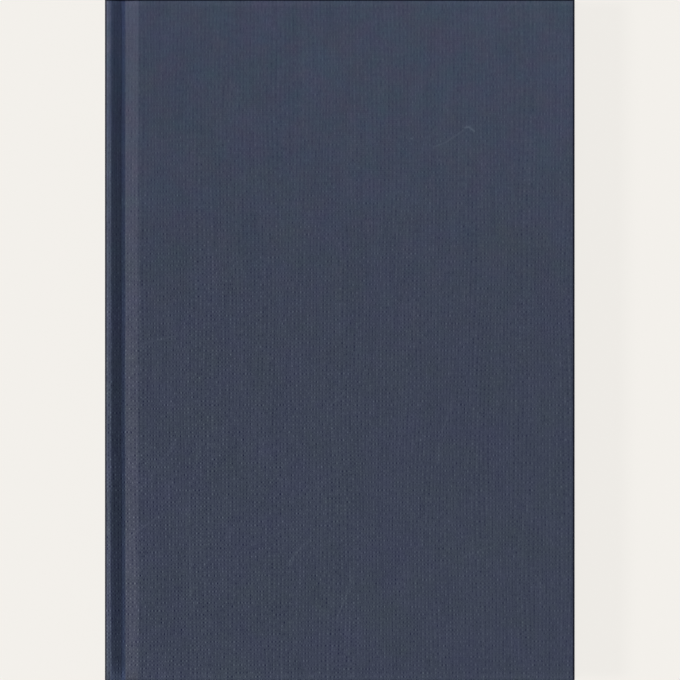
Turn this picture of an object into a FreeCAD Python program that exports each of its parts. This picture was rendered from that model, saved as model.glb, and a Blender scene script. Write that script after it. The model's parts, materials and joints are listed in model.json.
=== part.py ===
"""A casebound blank book: a sewn page block hung in a cloth case with a square spine and French grooves.

The book lies on its back cover. +X runs from the spine to the fore edge, +Y to the head, +Z up, and the
origin is the middle of the face it lies on. All sizes are in millimetres.
"""

import FreeCAD, Part

import os

import Sketcher

DRIVING_SIZES = {
    # the case as a whole
    "case_width": 147.0,  # spine to fore edge
    "case_height": 213.0,  # tail to head
    "case_overhang": 3.0,  # how far the boards stand out past the leaves
    # the case's layers
    "cloth_thickness": 0.35,
    "board_thickness": 2.2,
    "spine_board_thickness": 1.3,
    "cloth_turn_in": 15.0,  # how far the cloth reaches round an edge, measured from that edge
    # the groove, from the spine outwards
    "groove_spine_slope": 3.25,
    "groove_floor": 1.0,
    "groove_board_slope": 4.2,
    "board_setback": 4.3,  # from the hinge line to the board
    # the block's layers
    "leaves_thickness": 11.7,
    "paper_thickness": 0.15,  # of an endpaper
    "mull_thickness": 0.15,
    "mull_wing": 22.0,  # how far the mull runs over a board
    "mull_end_gap": 2.0,  # from the turned-in cloth to the mull
    "lining_thickness": 0.2,
    "lining_end_gap": 1.0,
    # head and tail bands
    "band_radius": 0.9,
    "band_tab": 10.0,  # how far the band's tape runs down the spine
    # sewing
    "thread_diameter": 0.45,
    "kerf_depth": 0.5,
    "kerf_width": 0.6,
    "sewing_end_margin": 15.0,
    # clearances
    "hinge_gap": 0.1,  # between what turns with a cover and what stays with the block
    "cover_gap": 0.05,  # between a closed cover and the first leaf
    "hollow_gap": 0.1,  # between the case's spine and the block's
    # rounding
    "spine_round": 1.2,
    "edge_round": 0.4,
    "shoulder_round": 3.0,
}
SEWING_STATIONS = 6
SAME_LENGTH = 1e-4  # lengths in millimetres that differ by less are the same

# Depths below the outer face of a cover, from the outside in.
CLOTH = "Sizes.cloth_thickness"
PAPER = "Sizes.paper_thickness"
TURNED_CLOTH_DEPTH = "Sizes.board_thickness"
BOARD_INSIDE = f"({CLOTH} + Sizes.board_thickness)"
FLOOR_DEPTH = f"({BOARD_INSIDE} - 2 * {CLOTH})"
PASTEDOWN_INSIDE = f"({BOARD_INSIDE} + {PAPER})"
FLYLEAF_DEPTH = f"({PASTEDOWN_INSIDE} + Sizes.cover_gap)"
LEAVES_DEPTH = f"({FLYLEAF_DEPTH} + {PAPER})"
BOOK_THICKNESS = f"(Sizes.leaves_thickness + 2 * {LEAVES_DEPTH})"

# Distances from the spine's outer face, towards the fore edge.
SPINE_BOARD_INSIDE = f"({CLOTH} + Sizes.spine_board_thickness)"
CREST_END = f"({SPINE_BOARD_INSIDE} + {CLOTH})"
LINING_START = f"({CREST_END} + Sizes.hollow_gap)"
MULL_START = f"({LINING_START} + Sizes.lining_thickness)"
LEAVES_START = f"({MULL_START} + Sizes.mull_thickness)"
FLOOR_START = f"({CREST_END} + Sizes.groove_spine_slope)"
HINGE_LINE = f"({FLOOR_START} + Sizes.groove_floor / 2)"
STATIC_END = f"({HINGE_LINE} - Sizes.hinge_gap / 2)"
MOVING_START = f"({HINGE_LINE} + Sizes.hinge_gap / 2)"
FLOOR_END = f"({FLOOR_START} + Sizes.groove_floor)"
GROOVE_END = f"({FLOOR_END} + Sizes.groove_board_slope)"
BOARD_START = f"({HINGE_LINE} + Sizes.board_setback)"
BOARD_START_DEPTH = (
    f"({TURNED_CLOTH_DEPTH} - ({BOARD_START} - {FLOOR_END}) / Sizes.groove_board_slope * {FLOOR_DEPTH})"
)
JOINT_CLOTH_END = f"({BOARD_START} - {CLOTH})"
JOINT_CLOTH_DEPTH = (
    f"({FLOOR_DEPTH} * (1 - ({JOINT_CLOTH_END} - {FLOOR_END}) / Sizes.groove_board_slope) + 2 * {CLOTH})"
)
MULL_WING_END = f"({BOARD_START} + Sizes.mull_wing)"
BOARD_END = f"(Sizes.case_width - {CLOTH})"
TURN_IN_START = "(Sizes.case_width - Sizes.cloth_turn_in)"
LEAVES_END = "(Sizes.case_width - Sizes.case_overhang)"

# Lengths from tail to head.
CASE_LENGTH = "Sizes.case_height"
BOARD_LENGTH = f"(Sizes.case_height - 2 * {CLOTH})"
WINDOW_LENGTH = "(Sizes.case_height - 2 * Sizes.cloth_turn_in)"
LEAVES_LENGTH = "(Sizes.case_height - 2 * Sizes.case_overhang)"
MULL_LENGTH = f"({WINDOW_LENGTH} - 2 * Sizes.mull_end_gap)"
LINING_LENGTH = f"({LEAVES_LENGTH} - 2 * Sizes.lining_end_gap)"

SIDES = ("front", "back")

document = FreeCAD.newDocument("BlankBook")
sizes = document.addObject("Spreadsheet::Sheet", "Sizes")
for row, (alias, millimetres) in enumerate(DRIVING_SIZES.items(), start=1):
    sizes.set(f"A{row}", alias)
    sizes.set(f"B{row}", str(millimetres))
    sizes.setAlias(f"B{row}", alias)
document.recompute()


def value(expression):
    """The size in millimetres that an expression on the sheet gives."""
    result = sizes.evalExpression(expression)
    return float(getattr(result, "Value", result))


def from_top(depth):
    """The height, above the face the book lies on, of what is this deep below the top."""
    return f"({BOOK_THICKNESS} - {depth})"


def from_spine(distance):
    """The X of what is this far from the spine's outer face."""
    return f"({distance} - Sizes.case_width / 2)"


def bind(obj, **expressions):
    """Bind an object's properties to expressions on the sheet. Two underscores stand for a dot."""
    for name, expression in expressions.items():
        obj.setExpression(name.replace("__", "."), expression)


# --- solids -------------------------------------------------------------------------------------------


def new_body(label, side="back"):
    """An empty body whose XZ plane holds sections: distance from the spine across, depth below a cover up.

    The front cover's body is the back cover's turned over about X, so that both share their sketches.
    """
    body = document.addObject("PartDesign::Body", label)
    body.Label = label
    if side == "front":
        body.Placement.Rotation = FreeCAD.Rotation(FreeCAD.Vector(1, 0, 0), 180)
        bind(body, Placement__Base__z=BOOK_THICKNESS)
    bind(body, Placement__Base__x=from_spine("0"))
    return body


def add_outline(body, plane_role, corners):
    """A closed sketch on a plane of the body, from its corners' expressions (across, up)."""
    sketch = body.newObject("Sketcher::SketchObject", f"{body.Name}_outline")
    plane = next(f for f in body.Origin.OriginFeatures if f.Role == plane_role)
    sketch.AttachmentSupport = [(plane, "")]
    sketch.MapMode = "FlatFace"
    points = [FreeCAD.Vector(value(across), value(up), 0) for across, up in corners]
    for start, end in zip(points, points[1:] + points[:1]):
        sketch.addGeometry(Part.LineSegment(start, end))
    for index, (across, up) in enumerate(corners):
        following = (index + 1) % len(corners)
        sketch.addConstraint(Sketcher.Constraint("Coincident", index, 2, following, 1))
        point = points[index]
        for kind, expression, distance in (("DistanceX", across, point.x), ("DistanceY", up, point.y)):
            constraint = sketch.addConstraint(Sketcher.Constraint(kind, -1, 1, index, 1, distance))
            sketch.setExpression(f"Constraints[{constraint}]", expression)
    return sketch


def extrude(body, kind, corners, length):
    """A Pad or Pocket of a section in XZ, as long as given and centred between head and tail."""
    feature = body.newObject(f"PartDesign::{kind}", f"{body.Name}_{kind.lower()}")
    feature.Profile = add_outline(body, "XZ_Plane", corners)
    feature.SideType = "Symmetric"
    bind(feature, Length=length)
    document.recompute()
    return feature


def round_edges(body, radius, chosen):
    """Round the body's edges whose middle point, in the body's own frame, passes the test."""
    tip = body.Tip
    shape = tip.Shape
    names = [
        f"Edge{number}"
        for number, edge in enumerate(shape.Edges, start=1)
        if chosen(edge.valueAt((edge.FirstParameter + edge.LastParameter) / 2))
    ]
    fillet = body.newObject("PartDesign::Fillet", f"{body.Name}_round")
    fillet.Base = (tip, names)
    bind(fillet, Radius=radius)
    document.recompute()
    return fillet


def add_box(label, start, length_x, length_y, bottom, length_z):
    """A box that starts this far from the spine, centred between head and tail."""
    box = document.addObject("Part::Box", label)
    box.Label = label
    bind(
        box,
        Length=length_x,
        Width=length_y,
        Height=length_z,
        Placement__Base__x=from_spine(start),
        Placement__Base__y=f"-({length_y}) / 2",
        Placement__Base__z=bottom,
    )
    return box


def bottom_of(side, depth, thickness):
    """The height of the bottom of a layer of a cover, given the layer's depth and thickness."""
    return depth if side == "back" else from_top(f"({depth} + {thickness})")


def near(a, b):
    """Whether two lengths in millimetres are the same."""
    return abs(a - b) < SAME_LENGTH


# --- the case -----------------------------------------------------------------------------------------


def make_board(side):
    """A cover's board: its hinge edge is pressed to the groove's slope, and its inner face is pressed in
    where the turned-in cloth and the mull lie, so that the pastedown is flat."""
    body = new_body(f"{side}_board", side)
    section = [
        (BOARD_START, TURNED_CLOTH_DEPTH),
        (BOARD_START, BOARD_START_DEPTH),
        (GROOVE_END, CLOTH),
        (BOARD_END, CLOTH),
        (BOARD_END, TURNED_CLOTH_DEPTH),
    ]
    extrude(body, "Pad", section, BOARD_LENGTH)
    middle = [
        (BOARD_START, TURNED_CLOTH_DEPTH),
        (TURN_IN_START, TURNED_CLOTH_DEPTH),
        (TURN_IN_START, BOARD_INSIDE),
        (BOARD_START, BOARD_INSIDE),
    ]
    extrude(body, "Pad", middle, WINDOW_LENGTH)
    mull_seat = [
        (BOARD_START, f"{BOARD_INSIDE} - Sizes.mull_thickness"),
        (MULL_WING_END, f"{BOARD_INSIDE} - Sizes.mull_thickness"),
        (MULL_WING_END, BOARD_INSIDE),
        (BOARD_START, BOARD_INSIDE),
    ]
    extrude(body, "Pocket", mull_seat, MULL_LENGTH)
    return body


def round_spine_corners(body, face, radius):
    """Round the two long corners of the face that lies this far in from the spine's outer face."""
    distance = value(face)
    round_edges(body, radius, lambda middle: near(middle.x, distance) and near(middle.y, 0))


def make_spine_board():
    """The spine board, as high as the book is thick, with its two outer corners rounded."""
    body = new_body("spine_board")
    section = [
        (CLOTH, CLOTH),
        (SPINE_BOARD_INSIDE, CLOTH),
        (SPINE_BOARD_INSIDE, from_top(CLOTH)),
        (CLOTH, from_top(CLOTH)),
    ]
    extrude(body, "Pad", section, BOARD_LENGTH)
    round_spine_corners(body, CLOTH, f"Sizes.spine_round - {CLOTH}")
    return body


def make_cover_cloth(side, board):
    """A cover's cloth, from the groove's floor over the board and in round its three edges.

    Between the groove's floor and the board the turned-in cloth lies against the outer layer, and then
    drops down the board's edge, so that a narrow hollow stays open at head and tail.
    """
    wrap = new_body(f"{side}_cloth_wrap", side)
    section = [
        (MOVING_START, BOARD_INSIDE),
        (MOVING_START, FLOOR_DEPTH),
        (FLOOR_END, FLOOR_DEPTH),
        (GROOVE_END, "0"),
        ("Sizes.case_width", "0"),
        ("Sizes.case_width", BOARD_INSIDE),
    ]
    extrude(wrap, "Pad", section, CASE_LENGTH)
    groove_end = value(GROOVE_END)
    round_edges(
        wrap,
        "Sizes.shoulder_round",
        lambda middle: near(middle.x, groove_end) and near(middle.y, 0) and near(middle.z, 0),
    )
    half_length = value(CASE_LENGTH) / 2
    width = value("Sizes.case_width")
    round_edges(
        wrap,
        "Sizes.edge_round",
        lambda middle: near(middle.x, width)
        or (near(abs(middle.y), half_length) and middle.x > width / 2),
    )
    window = new_body(f"{side}_cloth_window", side)
    inside = [
        (MOVING_START, TURNED_CLOTH_DEPTH),
        (FLOOR_END, TURNED_CLOTH_DEPTH),
        (BOARD_START, BOARD_START_DEPTH),
        (BOARD_START, TURNED_CLOTH_DEPTH),
        (TURN_IN_START, TURNED_CLOTH_DEPTH),
        (TURN_IN_START, BOARD_INSIDE),
        (MOVING_START, BOARD_INSIDE),
    ]
    extrude(window, "Pad", inside, WINDOW_LENGTH)
    joint_hollow = new_body(f"{side}_joint_hollow", side)
    under_joint_cloth = [
        (FLOOR_END, BOARD_INSIDE),
        (JOINT_CLOTH_END, JOINT_CLOTH_DEPTH),
        (JOINT_CLOTH_END, BOARD_INSIDE),
    ]
    extrude(joint_hollow, "Pad", under_joint_cloth, CASE_LENGTH)
    return cut(f"{side}_cloth", wrap, [board, window, joint_hollow])


def make_spine_cloth(spine_board):
    """The cloth round the spine board and down to the floors of both grooves, turned in at head and tail."""
    wrap = new_body("spine_cloth_wrap")
    section = [
        (STATIC_END, FLOOR_DEPTH),
        (FLOOR_START, FLOOR_DEPTH),
        (CREST_END, "0"),
        ("0", "0"),
        ("0", BOOK_THICKNESS),
        (CREST_END, BOOK_THICKNESS),
        (FLOOR_START, from_top(FLOOR_DEPTH)),
        (STATIC_END, from_top(FLOOR_DEPTH)),
    ]
    extrude(wrap, "Pad", section, CASE_LENGTH)
    round_spine_corners(wrap, "0", "Sizes.spine_round")
    room = new_body("spine_cloth_room")
    under_outer_layer = [
        (STATIC_END, TURNED_CLOTH_DEPTH),
        (FLOOR_START, TURNED_CLOTH_DEPTH),
        (CREST_END, CLOTH),
        (SPINE_BOARD_INSIDE, CLOTH),
        (SPINE_BOARD_INSIDE, from_top(CLOTH)),
        (CREST_END, from_top(CLOTH)),
        (FLOOR_START, from_top(TURNED_CLOTH_DEPTH)),
        (STATIC_END, from_top(TURNED_CLOTH_DEPTH)),
    ]
    extrude(room, "Pad", under_outer_layer, WINDOW_LENGTH)
    mouth = new_body("spine_cloth_mouth")
    under_turned_layer = [
        (STATIC_END, BOARD_INSIDE),
        (FLOOR_START, BOARD_INSIDE),
        (CREST_END, f"2 * {CLOTH}"),
        (CREST_END, from_top(f"2 * {CLOTH}")),
        (FLOOR_START, from_top(BOARD_INSIDE)),
        (STATIC_END, from_top(BOARD_INSIDE)),
    ]
    extrude(mouth, "Pad", under_turned_layer, CASE_LENGTH)
    return cut("spine_cloth", wrap, [spine_board, room, mouth])


def cut(label, base, tools):
    """The base with each tool taken out of it."""
    result = base
    for index, tool in enumerate(tools, start=1):
        step = document.addObject("Part::Cut", label if tool is tools[-1] else f"{label}_step{index}")
        step.Base = result
        step.Tool = tool
        result = step
    result.Label = label
    return result


# --- the block ----------------------------------------------------------------------------------------


def make_page_block():
    """The sewn leaves, with a row of kerfs across the back of their folds for the sewing."""
    body = new_body("page_block")
    section = [
        (LEAVES_START, LEAVES_DEPTH),
        (LEAVES_END, LEAVES_DEPTH),
        (LEAVES_END, from_top(LEAVES_DEPTH)),
        (LEAVES_START, from_top(LEAVES_DEPTH)),
    ]
    extrude(body, "Pad", section, LEAVES_LENGTH)
    half_kerf = "Sizes.kerf_width / 2"
    first = "(Sizes.sewing_end_margin - Sizes.case_height / 2)"
    kerf = body.newObject("PartDesign::Pocket", "kerf")
    kerf.Profile = add_outline(
        body,
        "XY_Plane",
        [
            (LEAVES_START, f"{first} - {half_kerf}"),
            (f"{LEAVES_START} + Sizes.kerf_depth", f"{first} - {half_kerf}"),
            (f"{LEAVES_START} + Sizes.kerf_depth", f"{first} + {half_kerf}"),
            (LEAVES_START, f"{first} + {half_kerf}"),
        ],
    )
    kerf.SideType = "Symmetric"
    bind(kerf, Length=f"2 * {BOOK_THICKNESS}")
    document.recompute()
    kerfs = body.newObject("PartDesign::LinearPattern", "kerfs")
    kerfs.Originals = [kerf]
    y_axis = next(f for f in body.Origin.OriginFeatures if f.Role == "Y_Axis")
    kerfs.Direction = (y_axis, [""])
    bind(kerfs, Length="Sizes.case_height - 2 * Sizes.sewing_end_margin")
    kerfs.Occurrences = SEWING_STATIONS
    body.Tip = kerfs
    return body


def make_sewing_thread():
    """The link stitches, one run of thread lying in each kerf across all the sections."""
    runs = []
    pitch = f"((Sizes.case_height - 2 * Sizes.sewing_end_margin) / {SEWING_STATIONS - 1})"
    for station in range(SEWING_STATIONS):
        run = document.addObject("Part::Cylinder", f"thread_run_{station + 1}")
        bind(
            run,
            Radius="Sizes.thread_diameter / 2",
            Height="Sizes.leaves_thickness",
            Placement__Base__x=from_spine(f"({LEAVES_START} + Sizes.thread_diameter / 2)"),
            Placement__Base__y=f"Sizes.sewing_end_margin - Sizes.case_height / 2 + {station} * {pitch}",
            Placement__Base__z=LEAVES_DEPTH,
        )
        runs.append(run)
    thread = document.addObject("Part::Compound", "sewing_thread")
    thread.Label = "sewing_thread"
    thread.Links = runs
    return thread


def make_endpaper(side):
    """The half of a folded endpaper that stays with the block: the flyleaf, and the strip past the fold."""
    body = new_body(f"{side}_endpaper", side)
    section = [
        (LEAVES_START, BOARD_INSIDE),
        (STATIC_END, BOARD_INSIDE),
        (STATIC_END, FLYLEAF_DEPTH),
        (LEAVES_END, FLYLEAF_DEPTH),
        (LEAVES_END, LEAVES_DEPTH),
        (LEAVES_START, LEAVES_DEPTH),
    ]
    extrude(body, "Pad", section, LEAVES_LENGTH)
    return body


def make_mull():
    """The gauze over the block's spine, as far as both hinge lines."""
    body = new_body("mull")
    mull_depth = f"({BOARD_INSIDE} - Sizes.mull_thickness)"
    section = [
        (STATIC_END, mull_depth),
        (STATIC_END, BOARD_INSIDE),
        (LEAVES_START, BOARD_INSIDE),
        (LEAVES_START, from_top(BOARD_INSIDE)),
        (STATIC_END, from_top(BOARD_INSIDE)),
        (STATIC_END, from_top(mull_depth)),
        (MULL_START, from_top(mull_depth)),
        (MULL_START, mull_depth),
    ]
    extrude(body, "Pad", section, MULL_LENGTH)
    return body


def make_band(label, towards_head):
    """A head or tail band: a wound bead on the end of the leaves, with a tape glued down the spine."""
    sign = "1" if towards_head else "-1"
    leaves_end = f"({LEAVES_LENGTH} / 2)"
    band_height = from_top(f"2 * {FLYLEAF_DEPTH}")
    bead = document.addObject("Part::Cylinder", f"{label}_bead")
    bind(
        bead,
        Radius="Sizes.band_radius",
        Height=band_height,
        Placement__Base__x=from_spine(f"({MULL_START} + Sizes.band_radius)"),
        Placement__Base__y=f"{sign} * ({leaves_end} + Sizes.band_radius)",
        Placement__Base__z=FLYLEAF_DEPTH,
    )
    tape = document.addObject("Part::Box", f"{label}_tape")
    tape_length = "(Sizes.band_tab + Sizes.band_radius)"
    tape_start = f"({leaves_end} - Sizes.band_tab)"
    tape_low = tape_start if towards_head else f"(-{tape_start} - {tape_length})"
    bind(
        tape,
        Length="Sizes.mull_thickness",
        Width=tape_length,
        Height=band_height,
        Placement__Base__x=from_spine(MULL_START),
        Placement__Base__y=tape_low,
        Placement__Base__z=FLYLEAF_DEPTH,
    )
    band = document.addObject("Part::Fuse", label)
    band.Label = label
    band.Base = bead
    band.Tool = tape
    return band


# --- the whole book -----------------------------------------------------------------------------------


def build():
    """Build every piece and return them as a list, each labelled with its node's name."""
    spine_board = make_spine_board()
    pieces = [
        spine_board,
        make_spine_cloth(spine_board),
        make_page_block(),
        make_sewing_thread(),
        make_mull(),
        add_box(
            "spine_lining",
            LINING_START,
            "Sizes.lining_thickness",
            LINING_LENGTH,
            FLYLEAF_DEPTH,
            from_top(f"2 * {FLYLEAF_DEPTH}"),
        ),
        make_band("head_band", towards_head=True),
        make_band("tail_band", towards_head=False),
    ]
    for side in SIDES:
        board = make_board(side)
        pieces += [
            board,
            make_cover_cloth(side, board),
            make_endpaper(side),
            add_box(
                f"{side}_pastedown",
                MOVING_START,
                f"{LEAVES_END} - {MOVING_START}",
                LEAVES_LENGTH,
                bottom_of(side, BOARD_INSIDE, PAPER),
                PAPER,
            ),
            add_box(
                f"{side}_mull_wing",
                MOVING_START,
                f"{MULL_WING_END} - {MOVING_START}",
                MULL_LENGTH,
                bottom_of(side, f"({BOARD_INSIDE} - Sizes.mull_thickness)", "Sizes.mull_thickness"),
                "Sizes.mull_thickness",
            ),
        ]
    document.recompute()
    return pieces


def check(pieces):
    """Stop if any object of the document failed, or any piece has no valid solid."""
    for obj in document.Objects:
        if "Invalid" in obj.State or "Error" in obj.State:
            raise RuntimeError(f"{obj.Label} did not compute: {obj.State}")
    for piece in pieces:
        shape = piece.Shape
        if shape.isNull() or not shape.isValid() or not shape.Solids:
            raise RuntimeError(f"{piece.Label} has no valid solid")


def export(pieces):
    """Write each piece to parts/LABEL.step and print its size."""
    os.makedirs("parts", exist_ok=True)
    for piece in pieces:
        piece.Shape.exportStep(f"parts/{piece.Label}.step")
        box = piece.Shape.BoundBox
        print(
            f"{piece.Label:18s} {len(piece.Shape.Solids)} solid(s) {piece.Shape.Volume:10.1f} mm3"
            f"  x {box.XMin:7.2f}..{box.XMax:7.2f}  y {box.YMin:7.2f}..{box.YMax:7.2f}"
            f"  z {box.ZMin:6.2f}..{box.ZMax:6.2f}"
        )


all_pieces = build()
check(all_pieces)
export(all_pieces)
print(f"hinge line at x {value(from_spine(HINGE_LINE)):.3f}, book thickness {value(BOOK_THICKNESS):.3f}")
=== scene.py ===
"""The looks of a casebound blank book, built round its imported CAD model.

The cloth, leaves, bands and endpapers are made here. The boards, linings and thread are CAD nodes, which
get better materials.
"""

from __future__ import annotations

import json
import logging
import math
from collections.abc import Sequence
from dataclasses import dataclass
from enum import Enum
from typing import Any, Union

import bmesh
import bpy
import numpy as np
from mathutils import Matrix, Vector

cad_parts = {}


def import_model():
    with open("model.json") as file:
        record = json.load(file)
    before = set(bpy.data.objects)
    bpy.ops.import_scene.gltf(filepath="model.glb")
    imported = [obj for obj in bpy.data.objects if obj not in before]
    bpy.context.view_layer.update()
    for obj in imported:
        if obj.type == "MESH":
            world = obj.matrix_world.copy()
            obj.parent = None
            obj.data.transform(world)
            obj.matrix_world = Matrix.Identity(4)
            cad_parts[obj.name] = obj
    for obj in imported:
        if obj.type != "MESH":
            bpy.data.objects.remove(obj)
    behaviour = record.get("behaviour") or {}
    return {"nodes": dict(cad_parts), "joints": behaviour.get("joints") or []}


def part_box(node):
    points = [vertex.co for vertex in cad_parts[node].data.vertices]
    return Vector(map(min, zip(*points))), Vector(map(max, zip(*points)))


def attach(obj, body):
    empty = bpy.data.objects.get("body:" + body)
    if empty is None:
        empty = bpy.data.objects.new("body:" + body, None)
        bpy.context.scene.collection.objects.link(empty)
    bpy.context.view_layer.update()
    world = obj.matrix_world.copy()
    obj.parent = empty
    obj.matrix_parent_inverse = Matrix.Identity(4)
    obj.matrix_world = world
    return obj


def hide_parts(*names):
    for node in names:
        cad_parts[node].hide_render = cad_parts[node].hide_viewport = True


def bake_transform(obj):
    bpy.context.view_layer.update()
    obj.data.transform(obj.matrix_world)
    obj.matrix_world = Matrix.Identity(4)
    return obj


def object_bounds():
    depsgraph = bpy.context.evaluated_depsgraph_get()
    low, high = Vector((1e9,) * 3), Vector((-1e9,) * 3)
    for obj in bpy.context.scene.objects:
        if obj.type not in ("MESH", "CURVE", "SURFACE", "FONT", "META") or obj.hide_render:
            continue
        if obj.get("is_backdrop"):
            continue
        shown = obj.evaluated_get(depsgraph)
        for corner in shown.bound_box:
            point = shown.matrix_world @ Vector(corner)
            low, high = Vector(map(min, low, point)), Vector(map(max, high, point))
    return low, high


logging.basicConfig(level=logging.INFO, format="%(message)s")
log = logging.getLogger("blank_book")

MM = 0.001
FLAT_UV = "flat"
CRISP_ANGLE = math.radians(35)
SAME_PLACE = 1e-9  # metres
SLACK = 1e-6  # of a ratio or an angle
WELD_DISTANCE = 0.0005 * MM

Number = Union["Wire", float, int]
Colour = tuple[float, float, float]
Point = tuple[float, float, float]
Pair = tuple[float, float]
Corner = tuple[bmesh.types.BMVert, Pair]


# --- node graphs --------------------------------------------------------------------------------------


@dataclass(frozen=True)
class Strip:
    """A strip between two lines, and how far it fades on each side of either line, in metres."""

    start: float
    end: float
    fade_in: float
    fade_out: float


@dataclass(frozen=True)
class Grain:
    """Noise over a sheet, with the size of its features in metres each way."""

    first: float
    second: float
    plane: float = 0.0  # noises of one size differ from plane to plane
    detail: float = 2.0
    roughness: float = 0.6


class Wire:
    """A node's output. Arithmetic on it adds Math nodes to its graph."""

    def __init__(self, graph: Graph, socket: bpy.types.NodeSocket) -> None:
        """Keep the graph and the socket."""
        self.graph = graph
        self.socket = socket

    def __add__(self, other: Number) -> Wire:
        """This plus a number."""
        return self.graph.math("ADD", self, other)

    def __sub__(self, other: Number) -> Wire:
        """This minus a number."""
        return self.graph.math("SUBTRACT", self, other)

    def __rsub__(self, other: Number) -> Wire:
        """A number minus this."""
        return self.graph.math("SUBTRACT", other, self)

    def __mul__(self, other: Number) -> Wire:
        """This times a number."""
        return self.graph.math("MULTIPLY", self, other)

    def __truediv__(self, other: Number) -> Wire:
        """This over a number."""
        return self.graph.math("DIVIDE", self, other)

    def __rtruediv__(self, other: Number) -> Wire:
        """A number over this."""
        return self.graph.math("DIVIDE", other, self)

    __radd__ = __add__
    __rmul__ = __mul__


class Graph:
    """A node tree, shader or geometry, that is written as Python calls."""

    def __init__(self, tree: bpy.types.NodeTree) -> None:
        """Start from an empty tree."""
        self.tree = tree
        self.tree.nodes.clear()

    def node(
        self,
        kind: str,
        settings: dict[str, Any] | None = None,
        inputs: dict[str | int, Any] | None = None,
    ) -> bpy.types.Node:
        """Add a node.

        Args:
            kind: The node's type.
            settings: Its properties, set before its sockets.
            inputs: A value or a Wire for each named or numbered socket.

        Returns:
            The node.
        """
        made = self.tree.nodes.new(kind)
        for name, setting in (settings or {}).items():
            setattr(made, name, setting)
        for key, given in (inputs or {}).items():
            socket = made.inputs[key]
            if isinstance(given, Wire):
                self.tree.links.new(given.socket, socket)
            else:
                socket.default_value = given
        return made

    def wire(
        self,
        kind: str,
        settings: dict[str, Any] | None = None,
        inputs: dict[str | int, Any] | None = None,
        output: str | int = 0,
    ) -> Wire:
        """Add a node and return one of its outputs as a Wire."""
        return Wire(self, self.node(kind, settings, inputs).outputs[output])

    def math(self, operation: str, *terms: Number) -> Wire:
        """One Math node on the terms."""
        return self.wire("ShaderNodeMath", {"operation": operation}, dict(enumerate(terms)))

    def size_of(self, given: Wire) -> Wire:
        """A number without its sign."""
        return self.math("ABSOLUTE", given)

    def rising(self, given: Wire, low: float, high: float) -> Wire:
        """A smooth passage from 0 to 1.

        Args:
            given: What it depends on.
            low: Where the passage starts.
            high: Where it ends.

        Returns:
            0 below low, 1 above high, and a value between them in the passage.
        """
        return self.wire(
            "ShaderNodeMapRange",
            {"interpolation_type": "SMOOTHSTEP"},
            {"Value": given, "From Min": low, "From Max": high},
        )

    def falling(self, given: Wire, low: float, high: float) -> Wire:
        """A smooth passage from 1 below low to 0 above high."""
        return 1.0 - self.rising(given, low, high)

    def within(self, given: Wire, strip: Strip) -> Wire:
        """1 inside the strip and 0 outside it, with its soft ends."""
        risen = self.rising(given, strip.start - strip.fade_in, strip.start + strip.fade_in)
        return risen * self.falling(given, strip.end - strip.fade_out, strip.end + strip.fade_out)

    def combine(self, x: Number, y: Number, z: Number = 0.0) -> Wire:
        """A vector from its parts."""
        return self.wire("ShaderNodeCombineXYZ", None, {0: x, 1: y, 2: z})

    def separate(self, vector: Wire) -> tuple[Wire, Wire, Wire]:
        """A vector's parts."""
        made = self.node("ShaderNodeSeparateXYZ", None, {0: vector})
        return Wire(self, made.outputs[0]), Wire(self, made.outputs[1]), Wire(self, made.outputs[2])

    def vector_math(self, operation: str, *terms: Any, output: str | int = 0) -> Wire:
        """One Vector Math node on the terms."""
        given = dict(enumerate(terms))
        return self.wire("ShaderNodeVectorMath", {"operation": operation}, given, output)


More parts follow.
